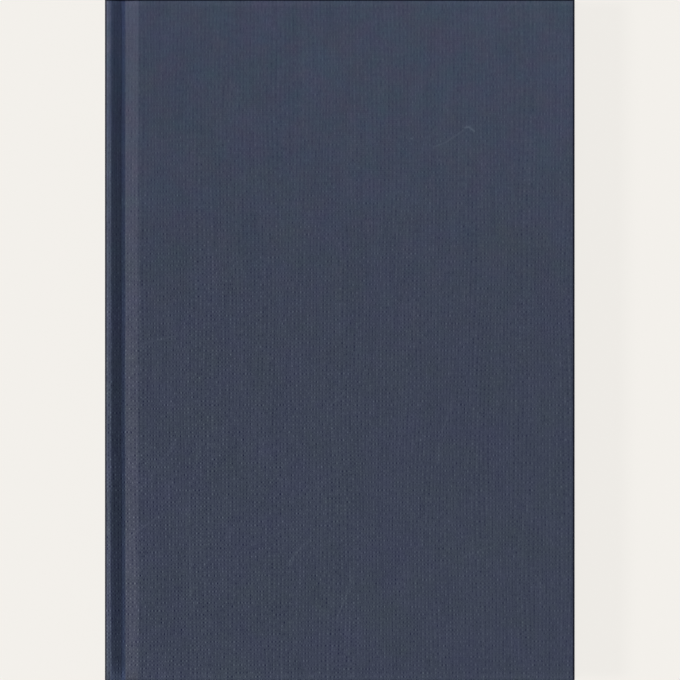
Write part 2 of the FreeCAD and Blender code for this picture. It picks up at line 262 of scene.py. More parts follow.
class Finish(Graph):
    """A material whose node tree is written as Python calls."""

    def __init__(self, name: str) -> None:
        """Make the material and empty its tree.

        Args:
            name: The material's name.
        """
        self.material = bpy.data.materials.new(name)
        self.material.use_nodes = True
        super().__init__(self.material.node_tree)

    def place(self) -> tuple[Wire, Wire, Wire]:
        """The point's place in the book's frame, in metres."""
        return self.separate(self.wire("ShaderNodeTexCoord", None, None, "Object"))

    def place_flat(self) -> tuple[Wire, Wire]:
        """The point's place on the sheet laid flat, in metres: across the book, and along it."""
        across, along, _ = self.separate(self.wire("ShaderNodeUVMap", {"uv_map": FLAT_UV}))
        return across, along

    def noise(self, vector: Wire, detail: float, roughness: float) -> Wire:
        """Noise with features of about one unit of the vector.

        Args:
            vector: Where in the noise.
            detail: How many finer layers it has.
            roughness: How strong they are.

        Returns:
            The noise, spread evenly round 0, within about -1 to 1.
        """
        found = self.wire(
            "ShaderNodeTexNoise",
            None,
            {"Vector": vector, "Scale": 1.0, "Detail": detail, "Roughness": roughness},
        )
        return (found - 0.5) * 2.0

    def grain(self, first: Wire, second: Wire, grain: Grain) -> Wire:
        """Noise over the two ways of a sheet."""
        place = self.combine(first / grain.first, second / grain.second, grain.plane)
        return self.noise(place, grain.detail, grain.roughness)

    def lumps(self, sizes: Point, detail: float = 3.0, roughness: float = 0.5) -> Wire:
        """Noise through the book's frame.

        Args:
            sizes: The size of its features along X, Y and Z, in metres.
            detail: How many finer layers it has.
            roughness: How strong they are.

        Returns:
            The noise, within about -1 to 1.
        """
        places = [place / size for place, size in zip(self.place(), sizes)]
        return self.noise(self.combine(*places), detail, roughness)

    def tint(self, colour: Colour | Wire, change: Wire, shares: Colour = (1.0, 1.0, 1.0)) -> Wire:
        """A colour made lighter where the change is above 0 and darker where it is below.

        Args:
            colour: The colour.
            change: By how much of itself it changes.
            shares: How much of the change red, green and blue take.

        Returns:
            The changed colour.
        """
        base = colour if isinstance(colour, Wire) else (*colour, 1.0)
        factors = self.combine(*(change * share + 1.0 for share in shares))
        return self.wire(
            "ShaderNodeMix",
            {"data_type": "RGBA", "blend_type": "MULTIPLY"},
            {0: 1.0, 6: base, 7: factors},
            2,
        )

    def mix(self, factor: Number, first: Colour | Wire, second: Colour | Wire) -> Wire:
        """The first colour where the factor is 0, the second where it is 1."""
        ends = [end if isinstance(end, Wire) else (*end, 1.0) for end in (first, second)]
        return self.wire("ShaderNodeMix", {"data_type": "RGBA"}, {0: factor, 6: ends[0], 7: ends[1]}, 2)

    def bump(self, height: Wire, distance: float) -> Wire:
        """A normal from a height, which is in units of the distance in metres."""
        relief = {"Strength": 1.0, "Distance": distance, "Height": height}
        return self.wire("ShaderNodeBump", None, relief)

    def close(
        self, colour: Wire, roughness: Number, normal: Wire, specular: float
    ) -> bpy.types.Material:
        """End the tree in a Principled surface.

        Args:
            colour: The base colour.
            roughness: The roughness.
            normal: The normal.
            specular: The specular level, the same all over.

        Returns:
            The finished material.
        """
        surface = self.wire(
            "ShaderNodeBsdfPrincipled",
            None,
            {
                "Base Color": colour,
                "Roughness": roughness,
                "Specular IOR Level": specular,
                "Normal": normal,
            },
        )
        self.node("ShaderNodeOutputMaterial", None, {"Surface": surface})
        return self.material


# --- finishes -----------------------------------------------------------------------------------------


@dataclass(frozen=True)
class Scuff:
    """A faint scuffed line on the front cover, straight or bent at its middle point.

    Points are (distance from the spine, distance from the tail), and all lengths are in millimetres.
    """

    points: tuple[Pair, ...]
    strength: float
    width: float = 0.5


SCUFFS = (
    Scuff(((103.2, 167.4), (107.5, 169.0), (111.9, 172.1)), 0.3),
    Scuff(((112.7, 173.1), (114.1, 173.5), (115.7, 172.2)), 0.72, 0.55),
    Scuff(((95.7, 169.6), (95.9, 169.4)), 0.72, 0.45),
    Scuff(((73.2, 137.1), (73.5, 136.8)), 0.5, 0.5),
    Scuff(((69.7, 85.5), (75.0, 90.2)), 0.25),
    Scuff(((107.9, 84.5), (104.7, 76.4)), 0.32),
    Scuff(((104.7, 74.2), (104.4, 69.2)), 0.18, 1.3),
    Scuff(((101.6, 57.3), (100.7, 51.4)), 0.23),
    Scuff(((77.5, 32.6), (72.5, 19.2)), 0.39),
    Scuff(((64.0, 44.2), (61.0, 41.2), (57.2, 36.4)), 0.28, 0.9),
    Scuff(((29.7, 74.5), (25.9, 56.7), (27.2, 23.2)), 0.16, 0.9),
    Scuff(((5.3, 43.3), (16.6, 51.4)), 0.34),
    Scuff(((10.9, 58.9), (22.5, 75.4)), 0.15, 0.7),
    Scuff(((10.9, 105.2), (23.4, 108.3)), 0.17),
    Scuff(((110.1, 37.9), (123.5, 43.3)), 0.15),
)


@dataclass(frozen=True)
class ClothMarks:
    """Where the case's features lie on its cloth laid flat, from the middle of the spine, in metres."""

    corner: Strip  # of the spine
    crest: Strip  # between the spine and the groove
    groove: Strip  # the groove's floor
    hollow: Strip  # from the crest down into the groove and over its floor
    shoulder: Strip  # the slope from the groove's floor up to the board's face
    panel_slack: float  # how much further a point of the board lies along the cloth than from the spine
    fore_edge: float
    head: float  # from the middle of the cover's height


@dataclass(frozen=True)
class ClothPlace:
    """A point of the cloth laid flat, in metres, and how smooth and how worn the cloth is there."""

    across: Wire  # from the middle of the spine, above 0 on the front cover
    along: Wire  # from the middle of the height, above 0 towards the head
    out: Wire  # from the middle of the spine, on either cover
    out_share: Wire  # the same, as a share of the way to the fore edge
    head_share: Wire  # the share of the way from the middle of the height to the head
    from_end: Wire  # from the nearer of head and tail
    from_tail: Wire
    smooth: Wire  # 0 towards the tail and 1 at the head, where the weave shows less
    worn: Wire  # noise that the wear follows


@dataclass(frozen=True)
class Weave:
    """Plain weave, whose warp runs from tail to head. Contrasts are shares of the colour."""

    warp_pitch: float = 0.5735 * MM
    warp_stray: Grain = Grain(14 * MM, 120 * MM, 9.0, roughness=0.5)
    warp_drift: float = 14.0  # how far, in radians of the weave, the warp strays from its even pitch
    weft_pitch: float = 0.607 * MM
    weft_stray: Grain = Grain(7 * MM, 25 * MM)
    weft_drift: float = 1.5
    crossing: float = 0.3  # how gradually warp and weft take turns on top
    thread_height: float = 0.03 * MM
    ribs: float = 0.189
    ribs_kept: float = 0.37  # at the head, of what the tail has
    checks: float = 0.238
    uneven: Grain = Grain(1.2 * MM, 1.4 * MM, 5.0, roughness=0.8)
    rib_unevenness: float = 9.0
    check_unevenness: float = 5.4
    check_wear: float = 2.0
    spine_freshness: float = 1.1  # how well the threads show at the spine
    freshness_lost: float = 0.42  # how much less they show at the fore edge
    streak: Grain = Grain(0.8 * MM, 14 * MM)
    streak_contrast: float = 0.15
    streak_height: float = 0.4  # of a thread's
    band: Grain = Grain(3.5 * MM, 45 * MM, 2.0)
    band_contrast: float = 0.12
    slub: Grain = Grain(6 * MM, 0.9 * MM, 3.0)
    slub_contrast: float = 0.15

    def threads(self, finish: Finish, at: ClothPlace) -> tuple[Wire, Wire]:
        """The threads' light and dark, partly their own tone and partly painted shade of their relief,
        and the relief itself.

        Args:
            finish: The material being made.
            at: The place on the cloth.

        Returns:
            A share to add to the cloth's tone, and the normal.
        """
        warp_stray = finish.grain(at.across, at.along, self.warp_stray) * self.warp_drift
        weft_stray = finish.grain(at.across, at.along, self.weft_stray) * self.weft_drift
        warp = finish.math("SINE", at.across * (math.pi / self.warp_pitch) + warp_stray)
        weft = finish.math("SINE", at.along * (math.pi / self.weft_pitch) + weft_stray)
        over = warp * weft
        warp_on_top = finish.rising(over, -self.crossing, self.crossing)
        raised_warp = finish.size_of(warp) * warp_on_top
        height = raised_warp + finish.size_of(weft) * (1.0 - warp_on_top)
        uneven = finish.grain(at.across, at.along, self.uneven)
        streak = finish.grain(at.across, at.along, self.streak)
        woven = 1.0 - at.smooth
        fresh = self.spine_freshness - at.out_share * woven * self.freshness_lost
        ribs = (1.0 - at.smooth * (1.0 - self.ribs_kept)) * self.ribs * fresh
        checks = woven * self.checks * (fresh * fresh)
        tone = (
            warp * ribs * (1.0 + uneven * self.rib_unevenness)
            + over * checks * (1.0 + at.worn * self.check_wear + uneven * self.check_unevenness)
            + streak * self.streak_contrast
            + finish.grain(at.across, at.along, self.band) * self.band_contrast
            + finish.grain(at.across, at.along, self.slub) * self.slub_contrast
        )
        return tone, finish.bump(height + streak * self.streak_height, self.thread_height)


@dataclass(frozen=True)
class Dye:
    """Blue-grey dye, which the cloth took a little differently from place to place."""

    tail_colour: Colour = (0.0401, 0.0493, 0.0788)
    head_colour: Colour = (0.0437, 0.0553, 0.0905)
    turn: Pair = (-0.1, 1.1)  # from which to which share of the way to the head one turns to the other
    patches: Grain = Grain(18 * MM, 18 * MM, 11.0, 3.0, 0.75)
    patch_tone: Colour = (0.055, -0.045, 0.16)
    head_patches: Grain = Grain(10 * MM, 10 * MM, 13.0, 3.0, 0.65)
    head_patch_tone: Colour = (0.27, -0.11, -0.02)

    def colour(self, finish: Finish, at: ClothPlace) -> Wire:
        """The dyed cloth's colour.

        Args:
            finish: The material being made.
            at: The place on the cloth.

        Returns:
            The colour, before the threads and the wear show in it.
        """
        dyed = finish.mix(finish.rising(at.head_share, *self.turn), self.tail_colour, self.head_colour)
        dyed = finish.tint(dyed, finish.grain(at.across, at.along, self.patches), self.patch_tone)
        head_patches = finish.grain(at.across, at.along, self.head_patches) * at.smooth
        return finish.tint(dyed, head_patches, self.head_patch_tone)


@dataclass(frozen=True)
class WearAndPaintedLight:
    """The marks of use, and the painted light and shade on the case's crest, shoulder, groove and edges.
    A tone is the share that red, green and blue gain or lose.
    """

    marks: ClothMarks
    rubbing_and_painted_tone: Colour = (1.0, 0.93, 0.74)
    # partly wear and partly a painted highlight on the crest's rounding, which faces the key light
    crest_wear_and_highlight: float = 0.46
    crest_unevenness: float = 0.3
    rim: Pair = (0.4 * MM, 1.8 * MM)  # from the fore edge, where the painted shade on it ends
    # painted shade on the fore edge's rounding, which faces away from the key light
    rim_shade: float = 0.17
    rubbed_end: Strip = Strip(0.7 * MM, 2.1 * MM, 0.9 * MM, 0.9 * MM)  # from the head or the tail
    end_rubbing: float = 0.115
    patches: Grain = Grain(12 * MM, 16 * MM, 4.0)
    patch_contrast: float = 0.10
    fade_to_edge: float = 0.12  # at the head
    # darker along the spine's corner
    corner_tone: Colour = (-0.52, -0.57, -0.57)
    # a painted highlight on the shoulder's slope, which faces the key light
    shoulder_highlight_tone: Colour = (0.13, 0.05, 0.025)
    # a painted bluer tint of the shade on the slope into the groove and on its floor
    hollow_shade_tone: Colour = (-0.06, 0.0, 0.1)
    fore_line: Strip = Strip(-0.5 * MM, 0.55 * MM, 0.25 * MM, 0.25 * MM)  # from the fore edge
    end_line: Strip = Strip(-0.5 * MM, 0.63 * MM, 0.08 * MM, 0.08 * MM)  # from the head or the tail
    tail_share: float = 0.1  # of the end line, that shows along the tail
    # painted shade on the roundings of the fore edge, head and tail
    edge_shade_tone: Colour = (-0.85, -0.8415, -0.799)
    # painted shade on the groove's floor, which lies in the hollow's shade
    groove_shade_tone: Colour = (-0.36, -0.3168, -0.2376)
    tail_reach: Pair = (-2 * MM, 7 * MM)
    hollow_tail_light: float = 0.65  # how much lighter the hollow is at the tail: painted light that comes in at the groove's open end
    ends_reach: Pair = (10 * MM, 40 * MM)
    hollow_ends_light: float = 0.14  # the same, over a longer way at both ends
    soiled_reach: float = 4.5 * MM
    soiled_tail: float = 0.27  # how much darker the crest and the shoulder are at the tail
    scuff_stray: Grain = Grain(9 * MM, 9 * MM, detail=1.0, roughness=0.5)
    scuff_drift: float = 0.9 * MM
    scuff_breaks: Pair = (-0.7, 0.1)  # the wear's noise where a scuff is lost, and where whole

    def scuff_run(self, finish: Finish, here: Wire, scuff: Scuff, start: int) -> Wire:
        """How strongly one straight run of a scuff shows at a point.

        Args:
            finish: The material being made.
            here: The point on the flat cloth.
            scuff: The scuff.
            start: Which of its points the run starts at.

        Returns:
            1 on the line, falling to 0 beside it.
        """
        ends = [
            Vector((across * MM + self.marks.panel_slack, along * MM - self.marks.head, 0.0))
            for across, along in scuff.points[start : start + 2]
        ]
        run = ends[1] - ends[0]
        offset = finish.vector_math("SUBTRACT", here, tuple(ends[0]))
        dot = finish.vector_math("DOT_PRODUCT", offset, tuple(run), output="Value")
        share = finish.wire("ShaderNodeClamp", None, {"Value": dot / run.length_squared})
        foot = finish.vector_math("MULTIPLY", finish.combine(share, share, share), tuple(run))
        away = finish.vector_math("DISTANCE", offset, foot, output="Value")
        return finish.falling(away, 0.0, scuff.width * MM)

    def scuffed(self, finish: Finish, at: ClothPlace) -> Wire:
        """How much lighter the scuffs make each point.

        Args:
            finish: The material being made.
            at: The place on the cloth.

        Returns:
            A share to add to the cloth's tone.
        """
        sway = finish.grain(at.along, at.across, self.scuff_stray) * self.scuff_drift
        here = finish.combine(at.across + sway, at.along + sway)
        found: Number = 0.0
        for scuff in SCUFFS:
            runs = [self.scuff_run(finish, here, scuff, start) for start in range(len(scuff.points) - 1)]
            mark = runs[0] if len(runs) == 1 else finish.math("MAXIMUM", *runs)
            found = mark * scuff.strength + found
        return found * finish.rising(at.worn, *self.scuff_breaks)

    def edge(self, finish: Finish, at: ClothPlace) -> Wire:
        """Where the painted shade line runs along the case's edges.

        Args:
            finish: The material being made.
            at: The place on the cloth.

        Returns:
            1 on the line along the fore edge and the head, less along the tail, and 0 elsewhere.
        """
        fore_line = finish.within(self.marks.fore_edge - at.out, self.fore_line)
        head_line = finish.within(self.marks.head - at.along, self.end_line)
        tail_line = finish.within(at.from_tail, self.end_line) * self.tail_share
        return finish.math("MAXIMUM", finish.math("MAXIMUM", fore_line, head_line), tail_line)

    def rubbed_and_painted(self, finish: Finish, at: ClothPlace, crest: Wire) -> Wire:
        """How much lighter or darker wear, a painted highlight on the crest and painted shade by the
        fore edge make each point, away from the groove.

        Args:
            finish: The material being made.
            at: The place on the cloth.
            crest: 1 on the crest and 0 elsewhere.

        Returns:
            A share to add to the cloth's tone.
        """
        return (
            # the crest's wear and painted highlight
            crest * (at.worn * self.crest_unevenness + self.crest_wear_and_highlight)
            # painted shade towards the fore edge
            - finish.falling(self.marks.fore_edge - at.out, *self.rim) * self.rim_shade
            + finish.within(at.from_end, self.rubbed_end) * self.end_rubbing
            + finish.grain(at.across, at.along, self.patches) * self.patch_contrast
            + (at.out_share - 0.5) * at.smooth * self.fade_to_edge
        )

    def worn_and_painted(self, finish: Finish, at: ClothPlace, colour: Wire, edge: Wire) -> Wire:
        """The colour once the cloth has been worn and soiled, with painted light and shade on its crest,
        shoulder, groove and edges.

        Args:
            finish: The material being made.
            at: The place on the cloth.
            colour: The colour of the fresh cloth.
            edge: 1 on the painted shade line along the case's edges, and 0 elsewhere.

        Returns:
            The colour of the worn cloth, painted light and shade included.
        """
        marks = self.marks
        crest, shoulder = finish.within(at.out, marks.crest), finish.within(at.out, marks.shoulder)
        hollow = finish.within(at.out, marks.hollow)
        # painted light that comes into the groove at its open ends
        tail_light = finish.falling(at.from_tail, *self.tail_reach) * self.hollow_tail_light
        ends_light = finish.falling(at.from_end, *self.ends_reach) * self.hollow_ends_light
        soiled = finish.falling(at.from_tail, 0.0, self.soiled_reach) * -self.soiled_tail
        # wear, a painted highlight on the crest and painted shade by the fore edge
        colour = finish.tint(colour, self.rubbed_and_painted(finish, at, crest), self.rubbing_and_painted_tone)
        colour = finish.tint(colour, finish.within(at.out, marks.corner), self.corner_tone)
        # painted highlight on the shoulder
        colour = finish.tint(colour, shoulder, self.shoulder_highlight_tone)
        # painted shade on the edges' roundings
        colour = finish.tint(colour, edge, self.edge_shade_tone)
        # painted shade darkens the groove's floor
        colour = finish.tint(colour, finish.within(at.out, marks.groove), self.groove_shade_tone)
        # painted shade's bluer tint in the hollow
        colour = finish.tint(colour, hollow, self.hollow_shade_tone)
        # painted light in the hollow towards its open ends
        colour = finish.tint(colour, hollow * (tail_light + ends_light))
        return finish.tint(colour, (crest + shoulder) * soiled)


@dataclass(frozen=True)
class BookCloth:
    """Plain-woven cotton book cloth, dyed and sized, with the marks of use and with painted light and
    shade in its colour.
    """

    marks: ClothMarks
    weave: Weave = Weave()
    dye: Dye = Dye()
    smoothed: Pair = (-0.5, 1.15)  # from which to which share of the way to the head the weave fades
    wear: Grain = Grain(6 * MM, 6 * MM, 7.0)
    crown_tone: Colour = (0.88, 0.85, 0.61)  # the shares of the threads' contrast, which is partly painted shade of their relief
    lifted_crowns: float = 0.15  # how much more a thread's light places stand out than its dark ones
    roughness: float = 0.62
    edge_roughness: float = 1.0
    specular: float = 0.08

    def place(self, finish: Finish) -> ClothPlace:
        """Measure where a point of the cloth lies.

        Args:
            finish: The material being made.

        Returns:
            The place on the cloth.
        """
        across, along = finish.place_flat()
        out, head_share = finish.size_of(across), along / self.marks.head
        return ClothPlace(
            across=across,
            along=along,
            out=out,
            out_share=out / self.marks.fore_edge,
            head_share=head_share,
            from_end=self.marks.head - finish.size_of(along),
            from_tail=along + self.marks.head,
            smooth=finish.rising(head_share, *self.smoothed),
            worn=finish.grain(across, along, self.wear),
        )

    def material(self) -> bpy.types.Material:
        """Make the cloth's material.

        Returns:
            The material.
        """
        finish = Finish("book_cloth")
        at = self.place(finish)
        # wear, soil, and the painted light and shade of the cloth
        wear_and_light = WearAndPaintedLight(self.marks)
        tone, normal = self.weave.threads(finish, at)
        tone = tone + wear_and_light.scuffed(finish, at)
        tone = tone * (1.0 + tone * self.lifted_crowns)
        # the line along the case's edges takes painted shade and is made rough
        edge = wear_and_light.edge(finish, at)
        # the threads' tone, partly painted shade of their relief, with the scuffs
        colour = finish.tint(self.dye.colour(finish, at), tone, self.crown_tone)
        # wear and soil, with painted light and shade on the crest, shoulder, groove and edges
        colour = wear_and_light.worn_and_painted(finish, at, colour, edge)
        roughness = edge * (self.edge_roughness - self.roughness) + self.roughness
        return finish.close(colour, roughness, normal, self.specular)


@dataclass(frozen=True)
class Fibres:
    """A matted sheet of fibres, such as paper or board, coloured by its pulp."""

    name: str
    colour: Colour
    fleck_colour: Colour
    fleck_share: float = 0.25
    fleck_rise: Pair = (0.05, 0.35)
    fibre_length: float = 1.6 * MM
    fibre_width: float = 0.25 * MM
    fibre_roughness: float = 0.6
    fibre_contrast: float = 0.04
    cloud_size: float = 12 * MM
    cloud_contrast: float = 0.05
    relief: float = 0.02 * MM
    roughness: float = 0.85
    specular: float = 0.2
    age: Colour | None = None
    age_share: float = 0.6
    age_reach: float = 4 * MM
    age_waver: float = 1.5 * MM
    layer_contrast: float = 0.0
    layer_pitch: float = 0.3 * MM
    layer_length: float = 60 * MM
    layer_roughness: float = 0.7

    def aged(self, finish: Finish, cloud: Wire, width: float, height: float) -> Wire:
        """How far each point has aged, from the sheet's edges inwards.

        Args:
            finish: The material being made.
            cloud: Noise that makes it uneven.
            width: The sheet's width, which is centred in the book's frame.
            height: The sheet's height, the same.

        Returns:
            The share of the aged colour.
        """
        x, y, _ = finish.place()
        from_edge = finish.math("MINIMUM", width / 2 - finish.size_of(x), height / 2 - finish.size_of(y))
        return finish.falling(from_edge + cloud * self.age_waver, 0.0, self.age_reach) * self.age_share

    def material(self, width: float = 0.0, height: float = 0.0) -> bpy.types.Material:
        """Make the sheet's material.

        Args:
            width: The sheet's width, where it has aged at its edges.
            height: The sheet's height, where it has aged at its edges.

        Returns:
            The material.
        """
        finish = Finish(self.name)
        length, thin = self.fibre_length, self.fibre_width
        along_x = finish.lumps((length, thin, thin), roughness=self.fibre_roughness)
        along_y = finish.lumps((thin, length, thin), roughness=self.fibre_roughness)
        mat = along_x + along_y
        cloud = finish.lumps((self.cloud_size, self.cloud_size, self.cloud_size))
        flecks = finish.rising(along_x * along_y, *self.fleck_rise) * self.fleck_share
        colour = finish.mix(flecks, self.colour, self.fleck_colour)
        if self.age is not None:
            colour = finish.mix(self.aged(finish, cloud, width, height), colour, self.age)
        tone = mat * self.fibre_contrast + cloud * self.cloud_contrast
        if self.layer_contrast:
            layer_sizes = (self.layer_length, self.layer_length, self.layer_pitch)
            layer = finish.lumps(layer_sizes, roughness=self.layer_roughness)
            tone = tone + layer * self.layer_contrast
        normal = finish.bump(mat, self.relief)
        return finish.close(finish.tint(colour, tone), self.roughness, normal, self.specular)


@dataclass(frozen=True)
class EndpaperStock:
    """Smooth wove paper, in which what lies beneath the pasted leaf shows as low ridges.

    Lengths are in metres, on the paper laid flat.
    """

    turned_in_from: float  # the turned-in cloth's inner edge, from the spine
    turned_in_above: float  # the same edge at head and tail, from the middle
    mull_end: float
    mull_above: float
    colour: Colour = (0.80, 0.765, 0.685)
    fleck_colour: Colour = (0.68, 0.63, 0.52)
    fleck_share: float = 0.5
    fleck_rise: Pair = (0.1, 0.9)
    pulp: Grain = Grain(1.1 * MM, 0.9 * MM, detail=4.0, roughness=0.65)
    pulp_contrast: float = 0.03
    pulp_height: float = 0.06
    cloud: Grain = Grain(14 * MM, 14 * MM, 5.0, 3.0, 0.5)
    cloud_contrast: float = 0.04
    cloud_height: float = 0.3
    cloth_shade: float = 0.03
    mull_shade: float = 0.02
    mull_height: float = 0.7  # of the cloth's
    ridge: float = 0.12 * MM
    ridge_softness: float = 0.5 * MM
    ridge_stray: Grain = Grain(9 * MM, 9 * MM, 2.0, roughness=0.5)
    ridge_drift: float = 0.4 * MM
    roughness: float = 0.8
    specular: float = 0.25

    def beneath(self, finish: Finish, across: Wire, along: Wire) -> tuple[Wire, Wire]:
        """What lies beneath the paper.

        Args:
            finish: The material being made.
            across: The place across the book.
            along: The place along it.

        Returns:
            1 over the turned-in cloth, and 1 over the mull.
        """
        soft = self.ridge_softness
        stray = finish.grain(across, along, self.ridge_stray) * self.ridge_drift
        out, away = across + stray, finish.size_of(along) + stray
        cloth = finish.math(
            "MAXIMUM",
            finish.rising(out, self.turned_in_from - soft, self.turned_in_from + soft),
            finish.rising(away, self.turned_in_above - soft, self.turned_in_above + soft),
        )
        mull = finish.falling(out, self.mull_end - soft, self.mull_end + soft)
        return cloth, mull * finish.falling(away, self.mull_above - soft, self.mull_above + soft)

    def material(self) -> bpy.types.Material:
        """Make the endpapers' material.

        Returns:
            The material.
        """
        finish = Finish("endpaper")
        across, along = finish.place_flat()
        cloth, mull = self.beneath(finish, across, along)
        pulp = finish.grain(across, along, self.pulp)
        cloud = finish.grain(across, along, self.cloud)
        flecks = finish.rising(pulp, *self.fleck_rise) * self.fleck_share
        colour = finish.mix(flecks, self.colour, self.fleck_colour)
        shade = cloth * self.cloth_shade + mull * self.mull_shade
        colour = finish.tint(colour, pulp * self.pulp_contrast + cloud * self.cloud_contrast - shade)
        height = cloth + mull * self.mull_height + pulp * self.pulp_height + cloud * self.cloud_height
        return finish.close(colour, self.roughness, finish.bump(height, self.ridge), self.specular)


@dataclass(frozen=True)
class Gauze:
    """Mull: open cotton gauze stiffened with size, and filled with the glue it was laid in."""

    thread_colour: Colour = (0.74, 0.70, 0.60)
    glue_colour: Colour = (0.52, 0.44, 0.30)
    pitch: float = 1.1 * MM
    thread_share: float = 0.42
    thread_softness: float = 0.15
    stray_size: float = 14 * MM
    stray: float = 0.5  # how far, in radians of the weave, a thread strays from its even pitch
    soak_size: float = 5 * MM
    soak_contrast: float = 0.12
    relief: float = 0.1 * MM
    roughness: float = 0.75
    specular: float = 0.3

    def material(self) -> bpy.types.Material:
        """Make the mull's material.

        Returns:
            The material.
        """
        finish = Finish("mull")
        x, y, z = finish.place()
        sway = finish.lumps((self.stray_size, self.stray_size, self.stray_size), 2.0) * self.stray
        edge = 1.0 - self.thread_share
        threads = []
        for place in (x + z, y):
            line = finish.size_of(finish.math("SINE", place * (math.pi / self.pitch) + sway))
            threads.append(finish.rising(line, edge - self.thread_softness, edge + self.thread_softness))
        cover = finish.math("MAXIMUM", *threads)
        soak = finish.lumps((self.soak_size, self.soak_size, self.soak_size)) * self.soak_contrast
        colour = finish.tint(finish.mix(cover, self.glue_colour, self.thread_colour), soak)
        return finish.close(colour, self.roughness, finish.bump(cover, self.relief), self.specular)


@dataclass(frozen=True)
class SpunThread:
    """Twisted thread, in one colour or in two that take turns along a band."""

    name: str
    colour: Colour
    second_colour: Colour
    stripe: float = 1.3 * MM
    stripe_softness: float = 0.05
    twist_pitch: float = 0.35 * MM
    twist_contrast: float = 0.2
    twist_shade: float = 0.15  # between the plies
    fuzz_size: float = 0.2 * MM
    fuzz_contrast: float = 0.08
    relief: float = 0.04 * MM
    roughness: float = 0.5
    specular: float = 0.45

    def material(self) -> bpy.types.Material:
        """Make the thread's material.

        Returns:
            The material.
        """
        finish = Finish(self.name)
        x, y, z = finish.place()
        ply = finish.size_of(finish.math("SINE", (x + y + z) * (math.pi / self.twist_pitch)))
        fuzz = finish.lumps((self.fuzz_size, self.fuzz_size, self.fuzz_size), 2.0)
        turn = finish.math("SINE", z * (math.pi / self.stripe))
        second = finish.rising(turn, -self.stripe_softness, self.stripe_softness)
        colour = finish.mix(second, self.colour, self.second_colour)
        tone = ply * self.twist_contrast + fuzz * self.fuzz_contrast - self.twist_shade
        normal = finish.bump(ply, self.relief)
        return finish.close(finish.tint(colour, tone), self.roughness, normal, self.specular)


LEAF_PAPER = Fibres(
    "leaf_paper",
    colour=(0.86, 0.835, 0.76),
    fleck_colour=(0.79, 0.75, 0.65),
    fleck_share=0.2,
    age=(0.80, 0.745, 0.62),
    layer_contrast=0.3,
    layer_pitch=0.9 * MM,
)
BAND_TAPE = Fibres("band_tape", colour=(0.74, 0.70, 0.60), fleck_colour=(0.6, 0.55, 0.45))
GREYBOARD = Fibres(
    "greyboard", colour=(0.30, 0.275, 0.235), fleck_colour=(0.12, 0.11, 0.10), fleck_share=0.5
)
KRAFT = Fibres("kraft", colour=(0.36, 0.23, 0.125), fleck_colour=(0.22, 0.13, 0.06), fleck_share=0.4)
BAND_SILK = SpunThread("band_silk", colour=(0.80, 0.77, 0.68), second_colour=(0.055, 0.075, 0.14))
LINEN_THREAD = SpunThread(
    "linen_thread",
    colour=(0.72, 0.66, 0.52),
    second_colour=(0.72, 0.66, 0.52),
    roughness=0.7,
    specular=0.25,
)


@dataclass(frozen=True)
class StudioPaper:
    """Pale background paper. Seen directly it keeps its own colour, and loses most of a shadow on it."""

    colour: Colour = (0.896, 0.871, 0.831)
    own_colour_share: float = 0.94

    def seen_directly(self, graph: Graph) -> Wire:
        """Find out whether a ray sees the paper directly.

        Args:
            graph: The material or world being made.

        Returns:
            1 for a ray from the camera, off gloss or through glass, and 0 for any other.
        """
        path = graph.node("ShaderNodeLightPath")
        direct, gloss, glass = (
            Wire(graph, path.outputs[f"Is {kind} Ray"]) for kind in ("Camera", "Glossy", "Transmission")
        )
        return graph.math("MAXIMUM", graph.math("MAXIMUM", direct, gloss), glass)

    def floor(self) -> bpy.types.Material:
        """Make the floor's material.

        Returns:
            The material.
        """
        finish = Finish("studio_paper")
        paper = finish.wire("ShaderNodeBsdfDiffuse", None, {"Color": (*self.colour, 1.0)})
        own = finish.wire("ShaderNodeEmission", None, {"Color": (*self.colour, 1.0), "Strength": 1.0})
        share = self.seen_directly(finish) * self.own_colour_share
        surface = finish.wire("ShaderNodeMixShader", None, {0: share, 1: paper, 2: own})
        finish.node("ShaderNodeOutputMaterial", None, {"Surface": surface})
        return finish.material

    def backdrop(self, ambient: float) -> bpy.types.World:
        """Make a world that shows the paper's colour and lights the book evenly.

        Args:
            ambient: The light's strength.

        Returns:
            The world.
        """
        world = bpy.data.worlds.new("studio_backdrop")
        world.use_nodes = True
        graph = Graph(world.node_tree)
        white = (1.0, 1.0, 1.0, 1.0)
        soft = graph.wire("ShaderNodeBackground", None, {"Color": white, "Strength": ambient})
        own = graph.wire("ShaderNodeBackground", None, {"Color": (*self.colour, 1.0), "Strength": 1.0})
        share = self.seen_directly(graph)
        surface = graph.wire("ShaderNodeMixShader", None, {0: share, 1: soft, 2: own})
        graph.node("ShaderNodeOutputWorld", None, {"Surface": surface})
        return world


# --- the case -----------------------------------------------------------------------------------------


class Side(Enum):
    """A cover of the book."""

    FRONT = "front"
    BACK = "back"


